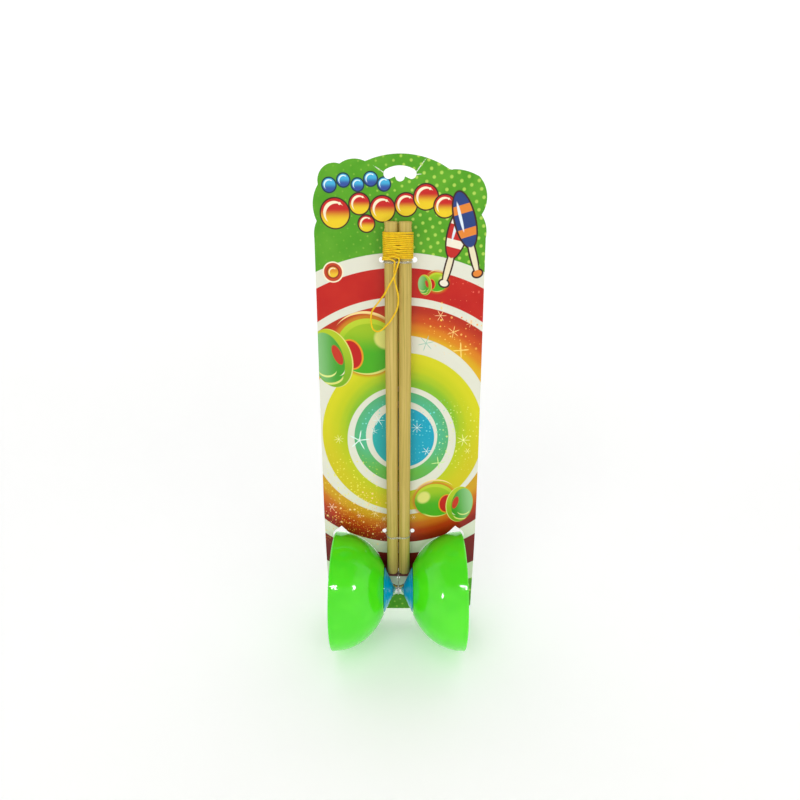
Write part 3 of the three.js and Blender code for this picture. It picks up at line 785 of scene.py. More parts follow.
def sparkles(art):
    """Rayed stars on the bright fields."""
    pale, white = ink(250, 248, 170), ink(232, 252, 244)
    for x, y, reach, colour, rays, turn in [
        (-51.3, -207.2, 4.6, pale, 8, 10), (-34.0, -208.0, 10.0, white, 5, 8),
        (-17.6, -189.7, 5.6, white, 6, 0), (-21.4, -199.5, 3.4, white, 6, 20),
        (14.1, -196.4, 5.2, white, 8, 0), (22.4, -218.1, 4.4, white, 6, 10),
        (53.2, -208.1, 6.2, pale, 7, 0), (32.5, -229.1, 6.4, ink(206, 240, 150), 4, 8),
        (57.0, -218.2, 3.2, pale, 6, 0), (31.3, -102.3, 5.0, ink(255, 214, 150), 6, 0),
        (41.6, -115.3, 5.4, ink(255, 222, 130), 6, 20), (54.8, -108.0, 4.2, ink(255, 214, 150), 7, 0),
        (20.4, -124.2, 7.0, ink(160, 200, 176), 6, 12), (48.0, -130.0, 7.0, ink(255, 226, 120), 4, 4),
        (-60.0, -273.0, 4.6, ink(255, 222, 190), 6, 0), (-28.6, -270.4, 4.6, ink(255, 232, 170), 6, 0),
        (-22.0, -279.0, 4.4, ink(255, 236, 170), 6, 15), (-36.0, -281.5, 3.0, ink(255, 226, 190), 6, 0),
        (-14.2, -284.6, 2.8, ink(255, 250, 220), 6, 0), (12.0, -283.0, 2.6, ink(255, 236, 200), 6, 0),
    ]:
        art.star(x, y, reach, colour, rays, turn)


def creases(art):
    """White cracks in the ink where the card has bent at the ends of its slot."""
    if art.misses(0, 8):
        return
    for x, y, long, turn in [(-13.6, 1.2, 4.2, 148), (13.8, 3.2, 6.0, 52), (12.4, -1.4, 2.2, 5)]:
        crack = art.ellipse(x, y, long, 0.28, turn=turn, soft=0.2)
        art.lay(art.both(crack, art.fade(art.noise(art.sheet, 1.3, 3), 0.35, 0.55)), ink(240, 244, 226))


# ---------------------------------------------------------------- Card

BOW = 1.1
LEFT_CURL = 0.9
CURL_FROM = 54
GRID = 4.0
CORNER_ANGLE = math.radians(32)
CARD_LOW = span("backing_card")[0].z
OPENING_REACH = 50.4
OPENING_PEAK = AXLE.z + 51.6
OPENING_FADE = 8
OPENING_LIP = 0.7
EDGE_BULGE = 0.07


def face_loops(mesh):
    """The edge loops of the CAD card's printed face, as lists of (x, z) in order."""
    following = {}
    for polygon in mesh.polygons:
        if polygon.normal.y > -0.9:
            continue
        corners = [tuple(round(c / MM, 3) for c in mesh.vertices[v].co.xz) for v in polygon.vertices]
        for a, b in zip(corners, corners[1:] + corners[:1]):
            if a in following.get(b, ()):
                following[b].remove(a)
            else:
                following.setdefault(a, set()).add(b)
    following = {a: ends for a, ends in following.items() if ends}
    loops = []
    while following:
        start = min(following)
        loop = [start]
        while True:
            ends = following[loop[-1]]
            step = ends.pop()
            if not ends:
                del following[loop[-1]]
            if step == start:
                break
            loop.append(step)
        loops.append([Vector(p) for p in loop])
    return loops


def smoothed(loop):
    """A loop with its arcs made finer and its long straights divided; its sharp corners stay."""
    count = len(loop)

    def soft(i):
        before = loop[i] - loop[i - 1]
        after = loop[(i + 1) % count] - loop[i]
        uneven = max(before.length, after.length) > 3 * min(before.length, after.length)
        return before.angle(after) < CORNER_ANGLE and not uneven

    fine = []
    for i, start in enumerate(loop):
        end = loop[(i + 1) % count]
        chord = end - start
        leave = (end - loop[i - 1]) / 2 if soft(i) else chord
        arrive = (loop[(i + 2) % count] - start) / 2 if soft((i + 1) % count) else chord
        curved = soft(i) or soft((i + 1) % count)
        steps = max(3 if curved else 1, math.ceil(chord.length / GRID))
        fine += [between(start, end, leave, arrive, k / steps) for k in range(steps)]
    return fine


def close_lips(outline):
    """Draws the openings' inner edges nearer to the cups, less and less up to the peaks."""
    for point in outline:
        across = point.x - GOODS_X
        if abs(across) < OPENING_REACH and CARD_LOW + 0.5 < point.y < OPENING_PEAK:
            share = min(1.0, (OPENING_PEAK - point.y) / OPENING_FADE)
            point.x += math.copysign(OPENING_LIP * share, across)


def lean(x):
    """How far the card bows back at a distance x from its middle."""
    curl = max(0.0, -x - CURL_FROM) / (CARD_HALF_WIDTH - CURL_FROM)
    return BOW * (x / CARD_HALF_WIDTH) ** 2 + LEFT_CURL * curl ** 2


def spans(loop, x):
    """Whether a loop reaches across x, a quick test before the full one."""
    return min(p.x for p in loop) < x < max(p.x for p in loop)


def inside(point, loop):
    """Whether a point is inside a loop."""
    hit = False
    for a, b in zip(loop, loop[1:] + loop[:1]):
        if (a.y > point.y) != (b.y > point.y):
            crossing = a.x + (point.y - a.y) / (b.y - a.y) * (b.x - a.x)
            if point.x < crossing:
                hit = not hit
    return hit


def build_card():
    """The card as one closed sheet: a printed face, a bare back and a slightly pressed cut edge."""
    loops = [smoothed(loop) for loop in face_loops(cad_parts["backing_card"].data)]
    loops.sort(key=len, reverse=True)
    outer = max(loops, key=lambda loop: max(p.y for p in loop) - min(p.y for p in loop))
    close_lips(outer)
    holes = [loop for loop in loops if loop is not outer]
    flat, edges = [], []
    for loop in loops:
        first = len(flat)
        flat += loop
        edges += [(first + i, first + (i + 1) % len(loop)) for i in range(len(loop))]
    low = Vector((min(p.x for p in outer), min(p.y for p in outer)))
    high = Vector((max(p.x for p in outer), max(p.y for p in outer)))
    for i in range(1, int((high.x - low.x) / GRID)):
        for j in range(1, int((high.y - low.y) / GRID)):
            flat.append(low + Vector((i, j)) * GRID + Vector((0, GRID / 2 * (i % 2))))
    mesh = geometry.delaunay_2d_cdt(flat, edges, [], 0, 1e-5)
    points, faces = mesh[0], mesh[2]

    kept = []
    for face in faces:
        middle = sum((points[v] for v in face), Vector((0, 0))) / len(face)
        in_hole = any(spans(hole, middle.x) and inside(middle, hole) for hole in holes)
        if inside(middle, outer) and not in_hole:
            turn = (points[face[1]] - points[face[0]]).cross(points[face[2]] - points[face[0]])
            kept.append(face if turn > 0 else face[::-1])
    used = sorted({v for face in kept for v in face})
    number = {v: i for i, v in enumerate(used)}
    kept = [[number[v] for v in face] for face in kept]
    points = [points[v] for v in used]

    sides = {(a, b) for face in kept for a, b in zip(face, face[1:] + face[:1])}
    border = [(a, b) for a, b in sides if (b, a) not in sides]
    outward = {}
    for a, b in border:
        way = points[b] - points[a]
        push = Vector((way.y, -way.x)).normalized()
        for v in (a, b):
            outward[v] = outward.get(v, Vector((0, 0))) + push
    rings = []
    verts = [(p.x, lean(p.x), p.y) for p in points]
    for depth in (0.25, 0.75):
        ring = {}
        for v, push in sorted(outward.items()):
            p = points[v] + push.normalized() * EDGE_BULGE
            ring[v] = len(verts)
            verts.append((p.x, lean(p.x) + CARD_THICKNESS * depth, p.y))
        rings.append(ring)
    back = len(verts)
    verts += [(p.x, lean(p.x) + CARD_THICKNESS, p.y) for p in points]
    everything = [tuple(face) for face in kept]
    everything += [tuple(back + v for v in reversed(face)) for face in kept]
    front_and_back = len(everything)
    for a, b in sorted(border):
        near = [(a, b), (rings[0][a], rings[0][b]), (rings[1][a], rings[1][b]), (back + a, back + b)]
        for (p, q), (r, s) in zip(near, near[1:]):
            everything.append((q, p, r, s))
    card = add_mesh("card_sheet", verts, everything, sharp_angle=50)
    strips = []
    for i, (high, low) in enumerate(zip(STRIPS, STRIPS[1:])):
        strips.append(printed_strip(f"card_print_fine_{i + 1}", low, high))
    edge = board_look("card_edge_fine", ink(214, 212, 200), ink(176, 172, 160))
    bare = board_look("card_back_fine", ink(198, 194, 182), ink(158, 152, 140))
    settle(card, "card", ["backing_card"], "card_print", *strips, edge, bare)
    for polygon in card.data.polygons:
        if polygon.index >= front_and_back:
            polygon.material_index = len(strips)
        elif polygon.index >= len(kept):
            polygon.material_index = len(strips) + 1
        else:
            height = polygon.center.z / MM
            polygon.material_index = sum(height < border for border in STRIPS[1:-1])


# ---------------------------------------------------------------- Ties

TIE_WIDTH = 1.4
TIE_THICKNESS = 0.5
TIE_SPACING = 0.4
TIE_SIDES = 16
TIE_SQUARENESS = 3.5
TIE_SWELL = 0.9
TIE_BACK = CARD_THICKNESS + TIE_THICKNESS / 2 + 0.25


def sealed(share):
    """The band thickens where its two ends are melted together, halfway round at the back."""
    return 1 + TIE_SWELL * math.exp(-((share - 0.5) / 0.02) ** 2)


def add_band(name, path, across, material, swell=None):
    """A closed band of nylon along a path, on the card's body."""
    route = resampled(path, TIE_SPACING, closed=True)
    section = oval(TIE_THICKNESS / 2, TIE_WIDTH / 2, TIE_SIDES, TIE_SQUARENESS)
    points = swept(route, section, closed=True, across=Vector(across), swell=swell)
    tie = add_mesh(f"{name}_band", points, ring_faces(len(route), len(section), True))
    settle(tie, "card", [name], "clear_nylon", material)


def build_stick_tie(name, material):
    """A clear band round both sticks and back through its two holes in the card."""
    low, high = span(name)
    z = (low.z + high.z) / 2
    reach = STICK_RADIUS + TIE_THICKNESS / 2 + 0.08
    front = []
    for side in (1, -1):
        for degrees in range(0, 91, 15):
            angle = math.radians(degrees)
            x = side * (STICK_OFFSET + reach * math.sin(angle))
            front.append((GOODS_X + x, STICK_Y - reach * math.cos(angle)))
    half = len(front) // 2
    right, left = front[:half], front[half:]
    leg = STICK_OFFSET + reach + 0.5
    legs = [(leg, -3.0), (leg + 0.1, 0.0), (leg + 0.05, 0.6), (leg - 0.35, TIE_BACK), (leg / 2, TIE_BACK)]
    path = [(GOODS_X, STICK_Y - reach + 0.35), *right]
    path += [(GOODS_X + x, y) for x, y in legs]
    path += [(GOODS_X, TIE_BACK)]
    path += [(GOODS_X - x, y) for x, y in reversed(legs)]
    path += reversed(left)
    add_band(name, [(x, y, z) for x, y in path], (0, 0, 1), material, sealed)


def build_axle_tie(material):
    """A clear band round the spool's waist and back through two holes in the card."""
    reach = SPOOL_WAIST_RADIUS + TIE_THICKNESS / 2 + 0.25
    arc = []
    for degrees in range(90, -91, -15):
        angle = math.radians(degrees)
        arc.append((AXLE.y - reach * math.cos(angle), AXLE.z + reach * math.sin(angle)))
    leg = [(-14.0, 3.95), (-7.0, 4.1), (0.0, 4.2), (0.6, 4.1), (TIE_BACK, 3.6), (TIE_BACK, 1.8)]
    path = [*arc, *[(y, AXLE.z - z) for y, z in leg], (TIE_BACK, AXLE.z)]
    path += [(y, AXLE.z + z) for y, z in reversed(leg)]
    add_band("axle_tie", [(GOODS_X, y, z) for y, z in path], (1, 0, 0), material)


# ---------------------------------------------------------------- Sticks

def upright(name, profile, segments, centre):
    """A profile of (z, r) turned about an upright axis; its first and last points lie on the axis."""
    points = []
    for z, r in profile[1:-1]:
        for angle in full_turn(segments):
            points.append((centre.x + r * math.cos(angle), centre.y + r * math.sin(angle), z))
    tips = [(centre.x, centre.y, profile[0][0]), (centre.x, centre.y, profile[-1][0])]
    return add_mesh(name, *tipped(points, segments, tips))


def cut(piece, tools):
    """Cuts the tools out of a piece and removes them."""
    for tool in tools:
        change = piece.modifiers.new("cut", "BOOLEAN")
        change.object = tool
        change.solver = "EXACT"
    shaped = bpy.data.meshes.new_from_object(piece.evaluated_get(bpy.context.evaluated_depsgraph_get()))
    piece.modifiers.clear()
    old = piece.data
    piece.data = shaped
    bpy.data.meshes.remove(old)
    for tool in tools:
        bpy.data.objects.remove(tool)
    piece.data.polygons.foreach_set("use_smooth", [True] * len(piece.data.polygons))
    piece.data.set_sharp_from_angle(angle=math.radians(35))


def build_stick(word, side, material):
    """A sanded dowel with softened ends, and a countersunk pocket for the string's knot.

    The bore between the pocket and the hollow at the inner side isn't cut: nothing can see into it.
    """
    centre = Vector((GOODS_X + side * STICK_OFFSET, STICK_Y, 0))
    bend = STICK_RADIUS - STICK_CHAMFER
    profile = filleted(
        [(STICK_BOTTOM, 0), (STICK_BOTTOM, bend), (STICK_BOTTOM + STICK_CHAMFER, STICK_RADIUS),
         (STICK_TOP - STICK_CHAMFER, STICK_RADIUS), (STICK_TOP, bend), (STICK_TOP, 0)],
        0.5, 3, closed=False,
    )
    stick = upright(f"{word}_stick_dowel", profile, 96, centre)
    hole_at = Vector((centre.x, centre.y, HOLE_Z))
    out = STICK_RADIUS + 1
    floor = STICK_RADIUS - POCKET_DEPTH
    sunk = [(floor, PIN), (floor, POCKET_RADIUS), (out, POCKET_RADIUS + 0.5), (out, PIN)]
    pocket = turned("pocket", sunk, 32, side, hole_at)
    # The string turns back between the two sticks, in a hollow at its way into them.
    relief = add_mesh("relief", *ball(Vector((GOODS_X, STICK_Y + 1.7, HOLE_Z - 0.1)), 2.5, 24))
    cut(stick, [pocket, relief])
    settle(stick, "sticks", [f"{word}_stick"], "stick_wood", material)


def ball(centre, radius, segments, lump=None):
    """Points and faces of a sphere, with its poles along X; `lump` scales the radius over the surface."""
    rows = segments // 2
    points = []
    for j in range(1, rows):
        polar = math.pi * j / rows
        for angle in full_turn(segments):
            r = radius * (lump(polar, angle) if lump else 1)
            y, z = math.sin(polar) * math.cos(angle), math.sin(polar) * math.sin(angle)
            points.append(centre + Vector((math.cos(polar), y, z)) * r)
    return tipped(points, segments, [centre + Vector((end * radius, 0, 0)) for end in (1, -1)])


# ---------------------------------------------------------------- String

STRING_SHARP = 80
STRING_SPACING = 0.3
STRING_SIDES = 12
STRANDS = 3
TWIST = 2 * math.pi / 5.0
TURNS = 7
PARTED_TURNS = (3, 6)
OUTER_LAYER = 1.7


def round_the_sticks(turn, radius):
    """A point on the stadium round both sticks, from its back centre, going left, then along the front."""
    straight = 2 * STICK_OFFSET
    arc = math.pi * radius
    travel = (turn % 1) * 2 * (straight + arc)
    if travel < straight / 2:
        return Vector((-travel, radius))
    travel -= straight / 2
    if travel < arc:
        angle = math.pi / 2 + travel / radius
        return Vector((-STICK_OFFSET + radius * math.cos(angle), radius * math.sin(angle)))
    travel -= arc
    if travel < straight:
        return Vector((-STICK_OFFSET + travel, -radius))
    travel -= straight
    if travel < arc:
        angle = -math.pi / 2 + travel / radius
        return Vector((STICK_OFFSET + radius * math.cos(angle), radius * math.sin(angle)))
    return Vector((STICK_OFFSET - (travel - arc), radius))


def ease(value):
    """A smooth rise from 0 to 1 as the value does the same."""
    value = min(1.0, max(0.0, value))
    return value * value * (3 - 2 * value)


def winding_strand(first_row, last_z, end_x, part):
    """One strand of the winding, from the back of the top row to the front of the bottom one.

    The top row is a little loose at the front right, and the middle rows part over the groove by `part`.
    The last quarter turn rises clear of the rows below it and stops short of end_x, ready to bend down.
    """
    radius = STICK_RADIUS + STRING_RADIUS + 0.02
    points = []
    steps = 40
    for i in range(3, int((TURNS + 0.5) * steps) + 1):
        turn = i / steps
        z = first_row - 2 * ROW_PITCH * max(0.0, turn - 0.5)
        slack = 0.42 * math.exp(-((turn - 0.68) / 0.13) ** 2) if part > 0 else 0
        lift = OUTER_LAYER * ease((turn - TURNS - 0.18) / 0.2)
        rise = ease((turn - TURNS - 0.24) / 0.24)
        z = z * (1 - rise) + last_z * rise
        x, y = round_the_sticks(turn, radius + lift)
        if turn > TURNS + 0.25 and x > end_x - 2.9:
            break
        in_middle = PARTED_TURNS[0] < turn < PARTED_TURNS[1] and y < 0
        parted = part * math.exp(-(x / 1.9) ** 2) if in_middle else 0
        points.append((GOODS_X + x, STICK_Y + y - abs(parted), z + slack + parted))
    return points


def string_route():
    """The string's whole path: right hole, winding, free loop, winding again, left hole."""
    first_row = WINDING_TOP - STRING_RADIUS - 0.05
    upper = winding_strand(first_row, -56.1, 0.8, 0.2)
    lower = winding_strand(first_row - ROW_PITCH, -57.3, -2.5, -0.2)

    def tail(side, z):
        places = [
            (side * (STICK_OFFSET + KNOT_OUT), 0, HOLE_Z), (side * STICK_OFFSET, 0, HOLE_Z),
            (side * 2.8, 0.02, HOLE_Z), (side * 0.75, 0.75, HOLE_Z + z * 0.6), (0, 2.5, HOLE_Z + z),
        ]
        return [(GOODS_X + x, STICK_Y + y, height) for x, y, height in places]

    def to_winding(start, z):
        return [
            (GOODS_X - 0.25, STICK_Y + 4.1, (start + z) / 2 + 0.5),
            (GOODS_X - 1.9, STICK_Y + 5.35, z + 0.55),
        ]

    loop = [(GOODS_X + x, y, z) for x, y, z in LOOP_ROUTE]
    path = tail(1, 0.7) + to_winding(HOLE_Z + 0.7, first_row) + upper + loop
    back = tail(-1, -0.75) + to_winding(HOLE_Z - 0.75, first_row - ROW_PITCH) + lower
    back += [(GOODS_X - 2.6, -13.8, -59.6)]
    path += reversed(back)
    return relaxed(resampled(path, STRING_SPACING), 5)


def lumpy(polar, angle):
    """How far a knot's surface stands in or out, as a share of its radius."""
    return 1 + 0.06 * math.cos(3 * angle + 5 * polar) * math.sin(polar)


def build_string(material):
    """The whole string as one twisted cord, with its two knots sunk in the sticks."""
    route = string_route()
    section = []
    for angle in full_turn(STRING_SIDES):
        r = STRING_RADIUS * (0.955 + 0.045 * math.cos(STRANDS * angle))
        section.append((r * math.cos(angle), r * math.sin(angle)))
    points = swept(route, section, twist=TWIST)
    cord = add_mesh("string_cord", points, capped_faces(len(route), STRING_SIDES), STRING_SHARP)
    strand_uv(cord.data)
    settle(cord, "sticks", ["string_winding", "string_loop"], "string_yellow", material)

    for word, side in SIDES:
        centre = Vector((GOODS_X + side * (STICK_OFFSET + KNOT_OUT), STICK_Y, HOLE_Z))
        shape = ball(centre, KNOT_RADIUS, 40, lumpy)
        knot = add_mesh(f"{word}_string_knot", *shape, STRING_SHARP)
        knot.data.uv_layers.new(name="strand")
        settle(knot, "sticks", [f"{word}_string_end"], "string_yellow", material)
    length = sum((b - a).length for a, b in zip(route, route[1:]))
    print(f"string path {length:.0f} mm")


def strand_uv(mesh):
    """Runs the UV map round the cord in u and along it, in millimetres, in v."""
    layer = mesh.uv_layers.new(name="strand")
    for polygon in mesh.polygons:
        around = [mesh.loops[i].vertex_index % STRING_SIDES for i in polygon.loop_indices]
        wraps = max(around) - min(around) > STRING_SIDES / 2
        for i, k in zip(polygon.loop_indices, around):
            ring = mesh.loops[i].vertex_index // STRING_SIDES
            u = (k + STRING_SIDES if wraps and k < STRING_SIDES / 2 else k) / STRING_SIDES
            layer.data[i].uv = (u, ring * STRING_SPACING)


# ---------------------------------------------------------------- Diabolo

def arc_points(centre_x, wide, high, start, end, steps):
    """(x, r) points on an ellipse about the axle, from the angle start to the angle end."""
    points = []
    for i in range(steps + 1):
        angle = start + (end - start) * i / steps
        points.append((centre_x - wide * math.sin(angle), high * math.cos(angle)))
    return points


def cup_profile():
    """The cup's wall, its rounded lip, and the boss on its floor."""
    inner_high = CUP_RIM_RADIUS - CUP_WALL
    inner_wide = CUP_DEPTH_RADIUS - CUP_WALL
    seat = math.asin((CUP_CENTRE - CUP_SEAT - 0.35) / CUP_DEPTH_RADIUS)
    floor = math.asin((CUP_CENTRE - CUP_FLOOR) / inner_wide)
    outer = arc_points(CUP_CENTRE, CUP_DEPTH_RADIUS, CUP_RIM_RADIUS, seat, 0, 40)
    inner = arc_points(CUP_CENTRE, inner_wide, inner_high, 0, floor, 40)
    lip = []
    for i in range(LIP_STEPS + 1):
        angle = math.pi * i / LIP_STEPS
        x, r = LIP_RADIUS * math.sin(angle), LIP_RADIUS * math.cos(angle)
        lip.append((CUP_CENTRE + LIP_OUT + x, CUP_RIM_RADIUS - CUP_WALL / 2 + r))
    seat_edge = outer[0][1]
    shoulder = [
        (CUP_SEAT, BORE_RADIUS + 0.1), (CUP_SEAT, seat_edge - 0.9), (CUP_SEAT + 0.12, seat_edge - 0.35),
    ]
    boss = [(CUP_FLOOR, 11.0), (CUP_FLOOR + 0.5, 10.5), (CUP_FLOOR + 0.5, 9.6), (CUP_FLOOR, 9.1),
            (CUP_FLOOR, BORE_RADIUS + 0.3), (CUP_FLOOR - 0.2, BORE_RADIUS + 0.1)]
    return shoulder + outer[:-1] + lip + inner[1:] + boss


def build_cups(material):
    """The two cups, which face away from each other."""
    for word, side in SIDES:
        cup = turned(f"{word}_cup_shell", cup_profile(), 144, side, sharp_angle=28)
        settle(cup, "diabolo", [f"{word}_cup"], "cup_green", material)


def build_hubs(material):
    """Cones with a soft edge, a shallow step at the spool and a fine parting ring."""
    slope = (HUB_RADIUS - SPOOL_END_RADIUS) / (HUB_BACK - HUB_FRONT - 0.6)
    ring_x = HUB_FRONT + 5.2
    ring_r = SPOOL_END_RADIUS + slope * (ring_x - HUB_FRONT)
    profile = [
        (HUB_FRONT, SPIGOT_RADIUS + 0.3), (HUB_FRONT, SPOOL_END_RADIUS),
        (ring_x - 0.25, ring_r - 0.25 * slope), (ring_x, ring_r - 0.25 * slope - 0.06),
        (ring_x + 0.25, ring_r + 0.25 * slope), (HUB_BACK - 0.6, HUB_RADIUS),
        (HUB_BACK, HUB_RADIUS), (HUB_BACK, BORE_RADIUS), (SPIGOT_HALF_LENGTH + 0.3, BORE_RADIUS),
        (SPIGOT_HALF_LENGTH + 0.3, SPIGOT_RADIUS + 0.3),
    ]
    for word, side in SIDES:
        hub = turned(f"{word}_hub_cone", filleted(profile, 0.22, 3), 128, side)
        settle(hub, "diabolo", [f"{word}_hub"], "hub_blue", material)


def build_spool(material):
    """The waisted sleeve that the string runs on, with a spigot at each end for the hubs."""
    profile = [(-SPIGOT_HALF_LENGTH, BORE_RADIUS), (-SPIGOT_HALF_LENGTH, SPIGOT_RADIUS),
               (-SPOOL_HALF_LENGTH, SPIGOT_RADIUS)]
    steps = 28
    for i in range(steps + 1):
        share = 2 * i / steps - 1
        radius = SPOOL_WAIST_RADIUS + (SPOOL_END_RADIUS - SPOOL_WAIST_RADIUS) * share * share
        profile.append((share * SPOOL_HALF_LENGTH, radius))
    profile += [(SPOOL_HALF_LENGTH, SPIGOT_RADIUS), (SPIGOT_HALF_LENGTH, SPIGOT_RADIUS),
                (SPIGOT_HALF_LENGTH, BORE_RADIUS)]
    spool = turned("axle_spool_sleeve", filleted(profile, 0.15, 3), 96)
    settle(spool, "diabolo", ["axle_spool"], "plated_steel", material)


def build_washers(material):
    """A flat washer in each cup."""
    for word, side in SIDES:
        low, high = span(f"{word}_washer")
        start, end = sorted(abs(x - AXLE.x) for x in (low.x, high.x))
        radius = (high.z - low.z) / 2
        profile = [(start, BORE_RADIUS), (start, radius), (end, radius), (end, BORE_RADIUS)]
        washer = turned(f"{word}_washer_disc", filleted(profile, 0.18, 3), 72, side)
        settle(washer, "diabolo", [f"{word}_washer"], "plated_steel", material)


HEX_RADIUS = 4.1
HEX_SEGMENTS = 96
HEX_CHAMFER = 0.32
HEAD_HEIGHT = 2.8
THREAD_LENGTH = 10
THREAD_CHAMFER = 0.4
THREAD_PITCH = 0.7
THREAD_DEPTH = 0.36
THREAD_STEPS = 6
LOCK_WASHER_RADIUS = 4.2


def hexagon(angle, limit):
    """The distance to a hexagon's side at an angle, no more than the chamfer's limit."""
    sector = math.pi / 3
    off = (angle + sector / 2) % sector - sector / 2
    return min(limit, HEX_RADIUS * math.cos(sector / 2) / math.cos(off))


def about_axle(x, r, angle):
    """A point at a distance r from the axle's line."""
    return AXLE.x + x, AXLE.y + r * math.cos(angle), AXLE.z + r * math.sin(angle)


def build_nut(material):
    """A hexagon nut with chamfered corners; its thread is too fine to see."""
    low, high = span("hex_nut")
    start, end = low.x - AXLE.x, high.x - AXLE.x
    mouth, bore = BOLT_RADIUS + 0.45, BOLT_RADIUS + 0.12
    rings = [
        (start, mouth, False), (start, 3.3, False), (start, 3.62, True),
        (start + HEX_CHAMFER, HEX_RADIUS, True), (end - HEX_CHAMFER, HEX_RADIUS, True),
        (end, 3.62, True), (end, 3.3, False), (end, mouth, False),
        (end - 0.4, bore, False), (start + 0.4, bore, False),
    ]
    points = []
    for x, limit, six_sided in rings:
        for angle in full_turn(HEX_SEGMENTS):
            r = hexagon(angle, limit) if six_sided else limit
            points.append(about_axle(x, r, angle))
    nut = add_mesh("hex_nut_threaded", points, ring_faces(len(rings), HEX_SEGMENTS, True), 25)
    settle(nut, "diabolo", ["hex_nut"], "plated_steel", material)


def build_bolt(material):
    """A hexagon-headed bolt with a real thread at its nut end."""
    low, high = span("through_bolt")
    start, end = low.x - AXLE.x, high.x - AXLE.x
    head_end = start + HEAD_HEIGHT
    plain, six_sided, threaded = range(3)
    rings = [
        (start, PIN, plain), (start, 2.9, plain), (start + 0.12, 3.1, plain), (start, 3.3, plain),
        (start, 3.6, six_sided), (start + HEX_CHAMFER, HEX_RADIUS, six_sided),
        (head_end - 0.05, HEX_RADIUS, six_sided), (head_end, HEX_RADIUS - 0.1, six_sided),
        (head_end, BOLT_RADIUS + 0.2, plain), (head_end + 0.2, BOLT_RADIUS, plain),
    ]
    thread_start = end - THREAD_LENGTH
    count = int(THREAD_LENGTH / THREAD_PITCH * THREAD_STEPS)
    for i in range(count + 1):
        rings.append((thread_start + (THREAD_LENGTH - THREAD_CHAMFER) * i / count, BOLT_RADIUS, threaded))
    rings += [(end, BOLT_RADIUS - 0.55, plain), (end, PIN, plain)]
    points = []
    for x, limit, kind in rings:
        turns = (x - thread_start) / THREAD_PITCH
        for angle in full_turn(HEX_SEGMENTS):
            r = hexagon(angle, limit) if kind == six_sided else limit
            if kind == threaded:
                phase = (turns - angle / (2 * math.pi)) % 1
                r = limit - THREAD_DEPTH * ease(1.3 * abs(2 * phase - 1)) * ease(turns)
            points.append(about_axle(x, r, angle))
    bolt = add_mesh("through_bolt_threaded", points, capped_faces(len(rings), HEX_SEGMENTS), 40)
    settle(bolt, "diabolo", ["through_bolt"], "plated_steel", material)


def build_lock_washer(material):
    """A split ring whose two ends stand a little apart."""
    low, high = span("lock_washer")
    middle = (low.x + high.x) / 2
    thickness = high.x - low.x
    mean = (BORE_RADIUS + LOCK_WASHER_RADIUS) / 2
    path = []
    steps = 72
    for i in range(steps + 1):
        share = i / steps
        angle = math.radians(6 + 348 * share)
        y, z = mean * math.cos(angle), mean * math.sin(angle)
        path.append(Vector((middle + 0.2 * (share - 0.5), AXLE.y + y, AXLE.z + z)))
    section = oval((LOCK_WASHER_RADIUS - BORE_RADIUS) / 2, thickness / 2 - 0.1, 16, 5)
    points = swept(path, section, across=Vector((1, 0, 0)))
    ring = add_mesh("lock_washer_ring", points, capped_faces(len(path), len(section)))
    settle(ring, "diabolo", ["lock_washer"], "plated_steel", material)


# ---------------------------------------------------------------- Stage, camera and light

def build_stage():
    """A pale floor that sweeps up into a backdrop behind the card, with far walls on the other sides."""
    floor_z = cad_box[0].z - 0.0005
    half = 3.0
    wall = 3.0
    behind = 0.55
    bend = 0.35
    steps = 16
    profile = [(-half, floor_z + wall), (-half, floor_z), (behind - bend, floor_z)]
    for i in range(1, steps + 1):
        angle = math.pi / 2 * i / steps
        out, up = bend * math.sin(angle), bend * (1 - math.cos(angle))
        profile.append((behind - bend + out, floor_z + up))
    profile.append((behind, floor_z + wall))
    points = []
    for y, z in profile:
        points += [(-half / MM, y / MM, z / MM), (half / MM, y / MM, z / MM)]
    faces = [(2 * i, 2 * i + 1, 2 * i + 3, 2 * i + 2) for i in range(len(profile) - 1)]
    faces += [tuple(range(side, len(points), 2)) for side in (0, 1)]
    sweep = add_mesh("studio_sweep", points, faces, 60)
    look = Look("studio_paper", Roughness=0.9, Specular_IOR_Level=0.1)
    look.shader.inputs["Base Color"].default_value = (0.86, 0.86, 0.855, 1)
    look.shader.inputs["Emission Color"].default_value = (1, 1, 1, 1)
    look.shader.inputs["Emission Strength"].default_value = 0.24
    sweep.data.materials.append(look.material)


def add_panel(name, place, aim, wide, high, radiance):
    """A rectangular light of a given brightness, in metres."""
    light = bpy.data.lights.new(name, "AREA")
    light.shape = "RECTANGLE"
    light.size = wide
    light.size_y = high
    light.energy = radiance * math.pi * wide * high
    lamp = add_object(name, light)
    lamp.location = place
    lamp.rotation_euler = (Vector(aim) - Vector(place)).to_track_quat("-Z", "Y").to_euler()
    return lamp


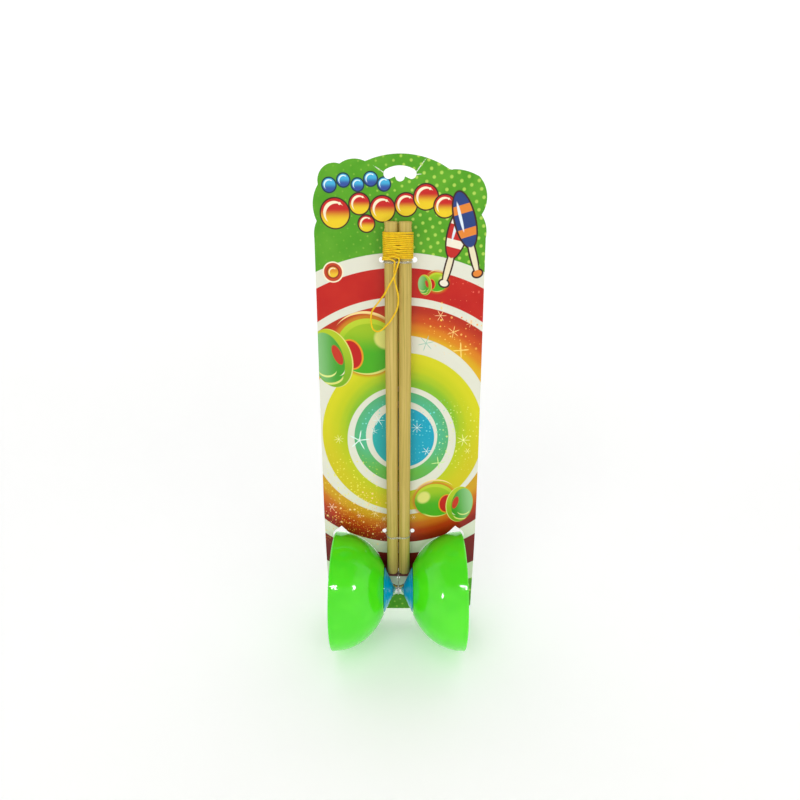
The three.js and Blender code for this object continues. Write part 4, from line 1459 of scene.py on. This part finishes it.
def build_light():
    """A white room, four soft panels that show in no reflection, and small bright windows that do."""
    world = bpy.data.worlds.new("studio")
    world.use_nodes = True
    world.node_tree.nodes["Background"].inputs[0].default_value = (1, 1, 1, 1)
    world.node_tree.nodes["Background"].inputs[1].default_value = 0.27
    bpy.context.scene.world = world
    middle = (0, 0, -0.2)
    for name, place, radiance in [
        ("key_panel", (-0.8, -1.4, 1.0), 1.9),
        ("fill_panel", (1.1, -1.3, 0.3), 1.4),
        ("back_panel", (0.0, 0.9, 1.2), 2.5),
        ("top_panel", (0.0, -0.6, 1.4), 1.0),
    ]:
        add_panel(name, place, middle, 1.0, 1.0, radiance).visible_glossy = False
    cups = (0, -0.06, -0.31)
    for name, place, wide, high in [
        ("window_rail", (-0.02, -0.92, 0.56), 0.17, 0.035),
        ("window_post", (0.05, -0.94, 0.5), 0.035, 0.14),
        ("left_window", (0.84, -0.64, 0.25), 0.11, 0.12),
        ("right_window", (-0.86, -0.82, 0.0), 0.05, 0.16),
    ]:
        add_panel(name, place, cups, wide, high, 60).visible_diffuse = False
    bpy.context.scene.view_settings.view_transform = "Standard"
    bpy.context.scene.view_settings.look = "None"


def build_camera():
    """The photograph's view: from in front of the card's top, looking down."""
    data = bpy.data.cameras.new("camera")
    data.sensor_width = 36
    data.lens = 25.02
    camera = add_object("camera", data)
    camera.location = (0, -0.423, -0.0102)
    camera.rotation_euler = Euler((math.radians(90 - 20.9), 0, 0))
    bpy.context.scene.camera = camera


build_camera()
build_string(string_look())
build_card()
nylon = nylon_look()
build_stick_tie("upper_tie", nylon)
build_stick_tie("lower_tie", nylon)
build_axle_tie(nylon)
wood = wood_look()
for word, side in SIDES:
    build_stick(word, side, wood)
build_cups(plastic("cup_green_fine", ink(88, 238, 30), ink(78, 230, 22), Subsurface_Weight=0.25,
                   Subsurface_Scale=0.004))
build_hubs(plastic("hub_blue_fine", ink(0, 172, 222), ink(0, 164, 214)))
steel = steel_look()
build_spool(steel)
build_washers(steel)
build_bolt(steel)
build_lock_washer(steel)
build_nut(steel)
build_stage()
build_light()
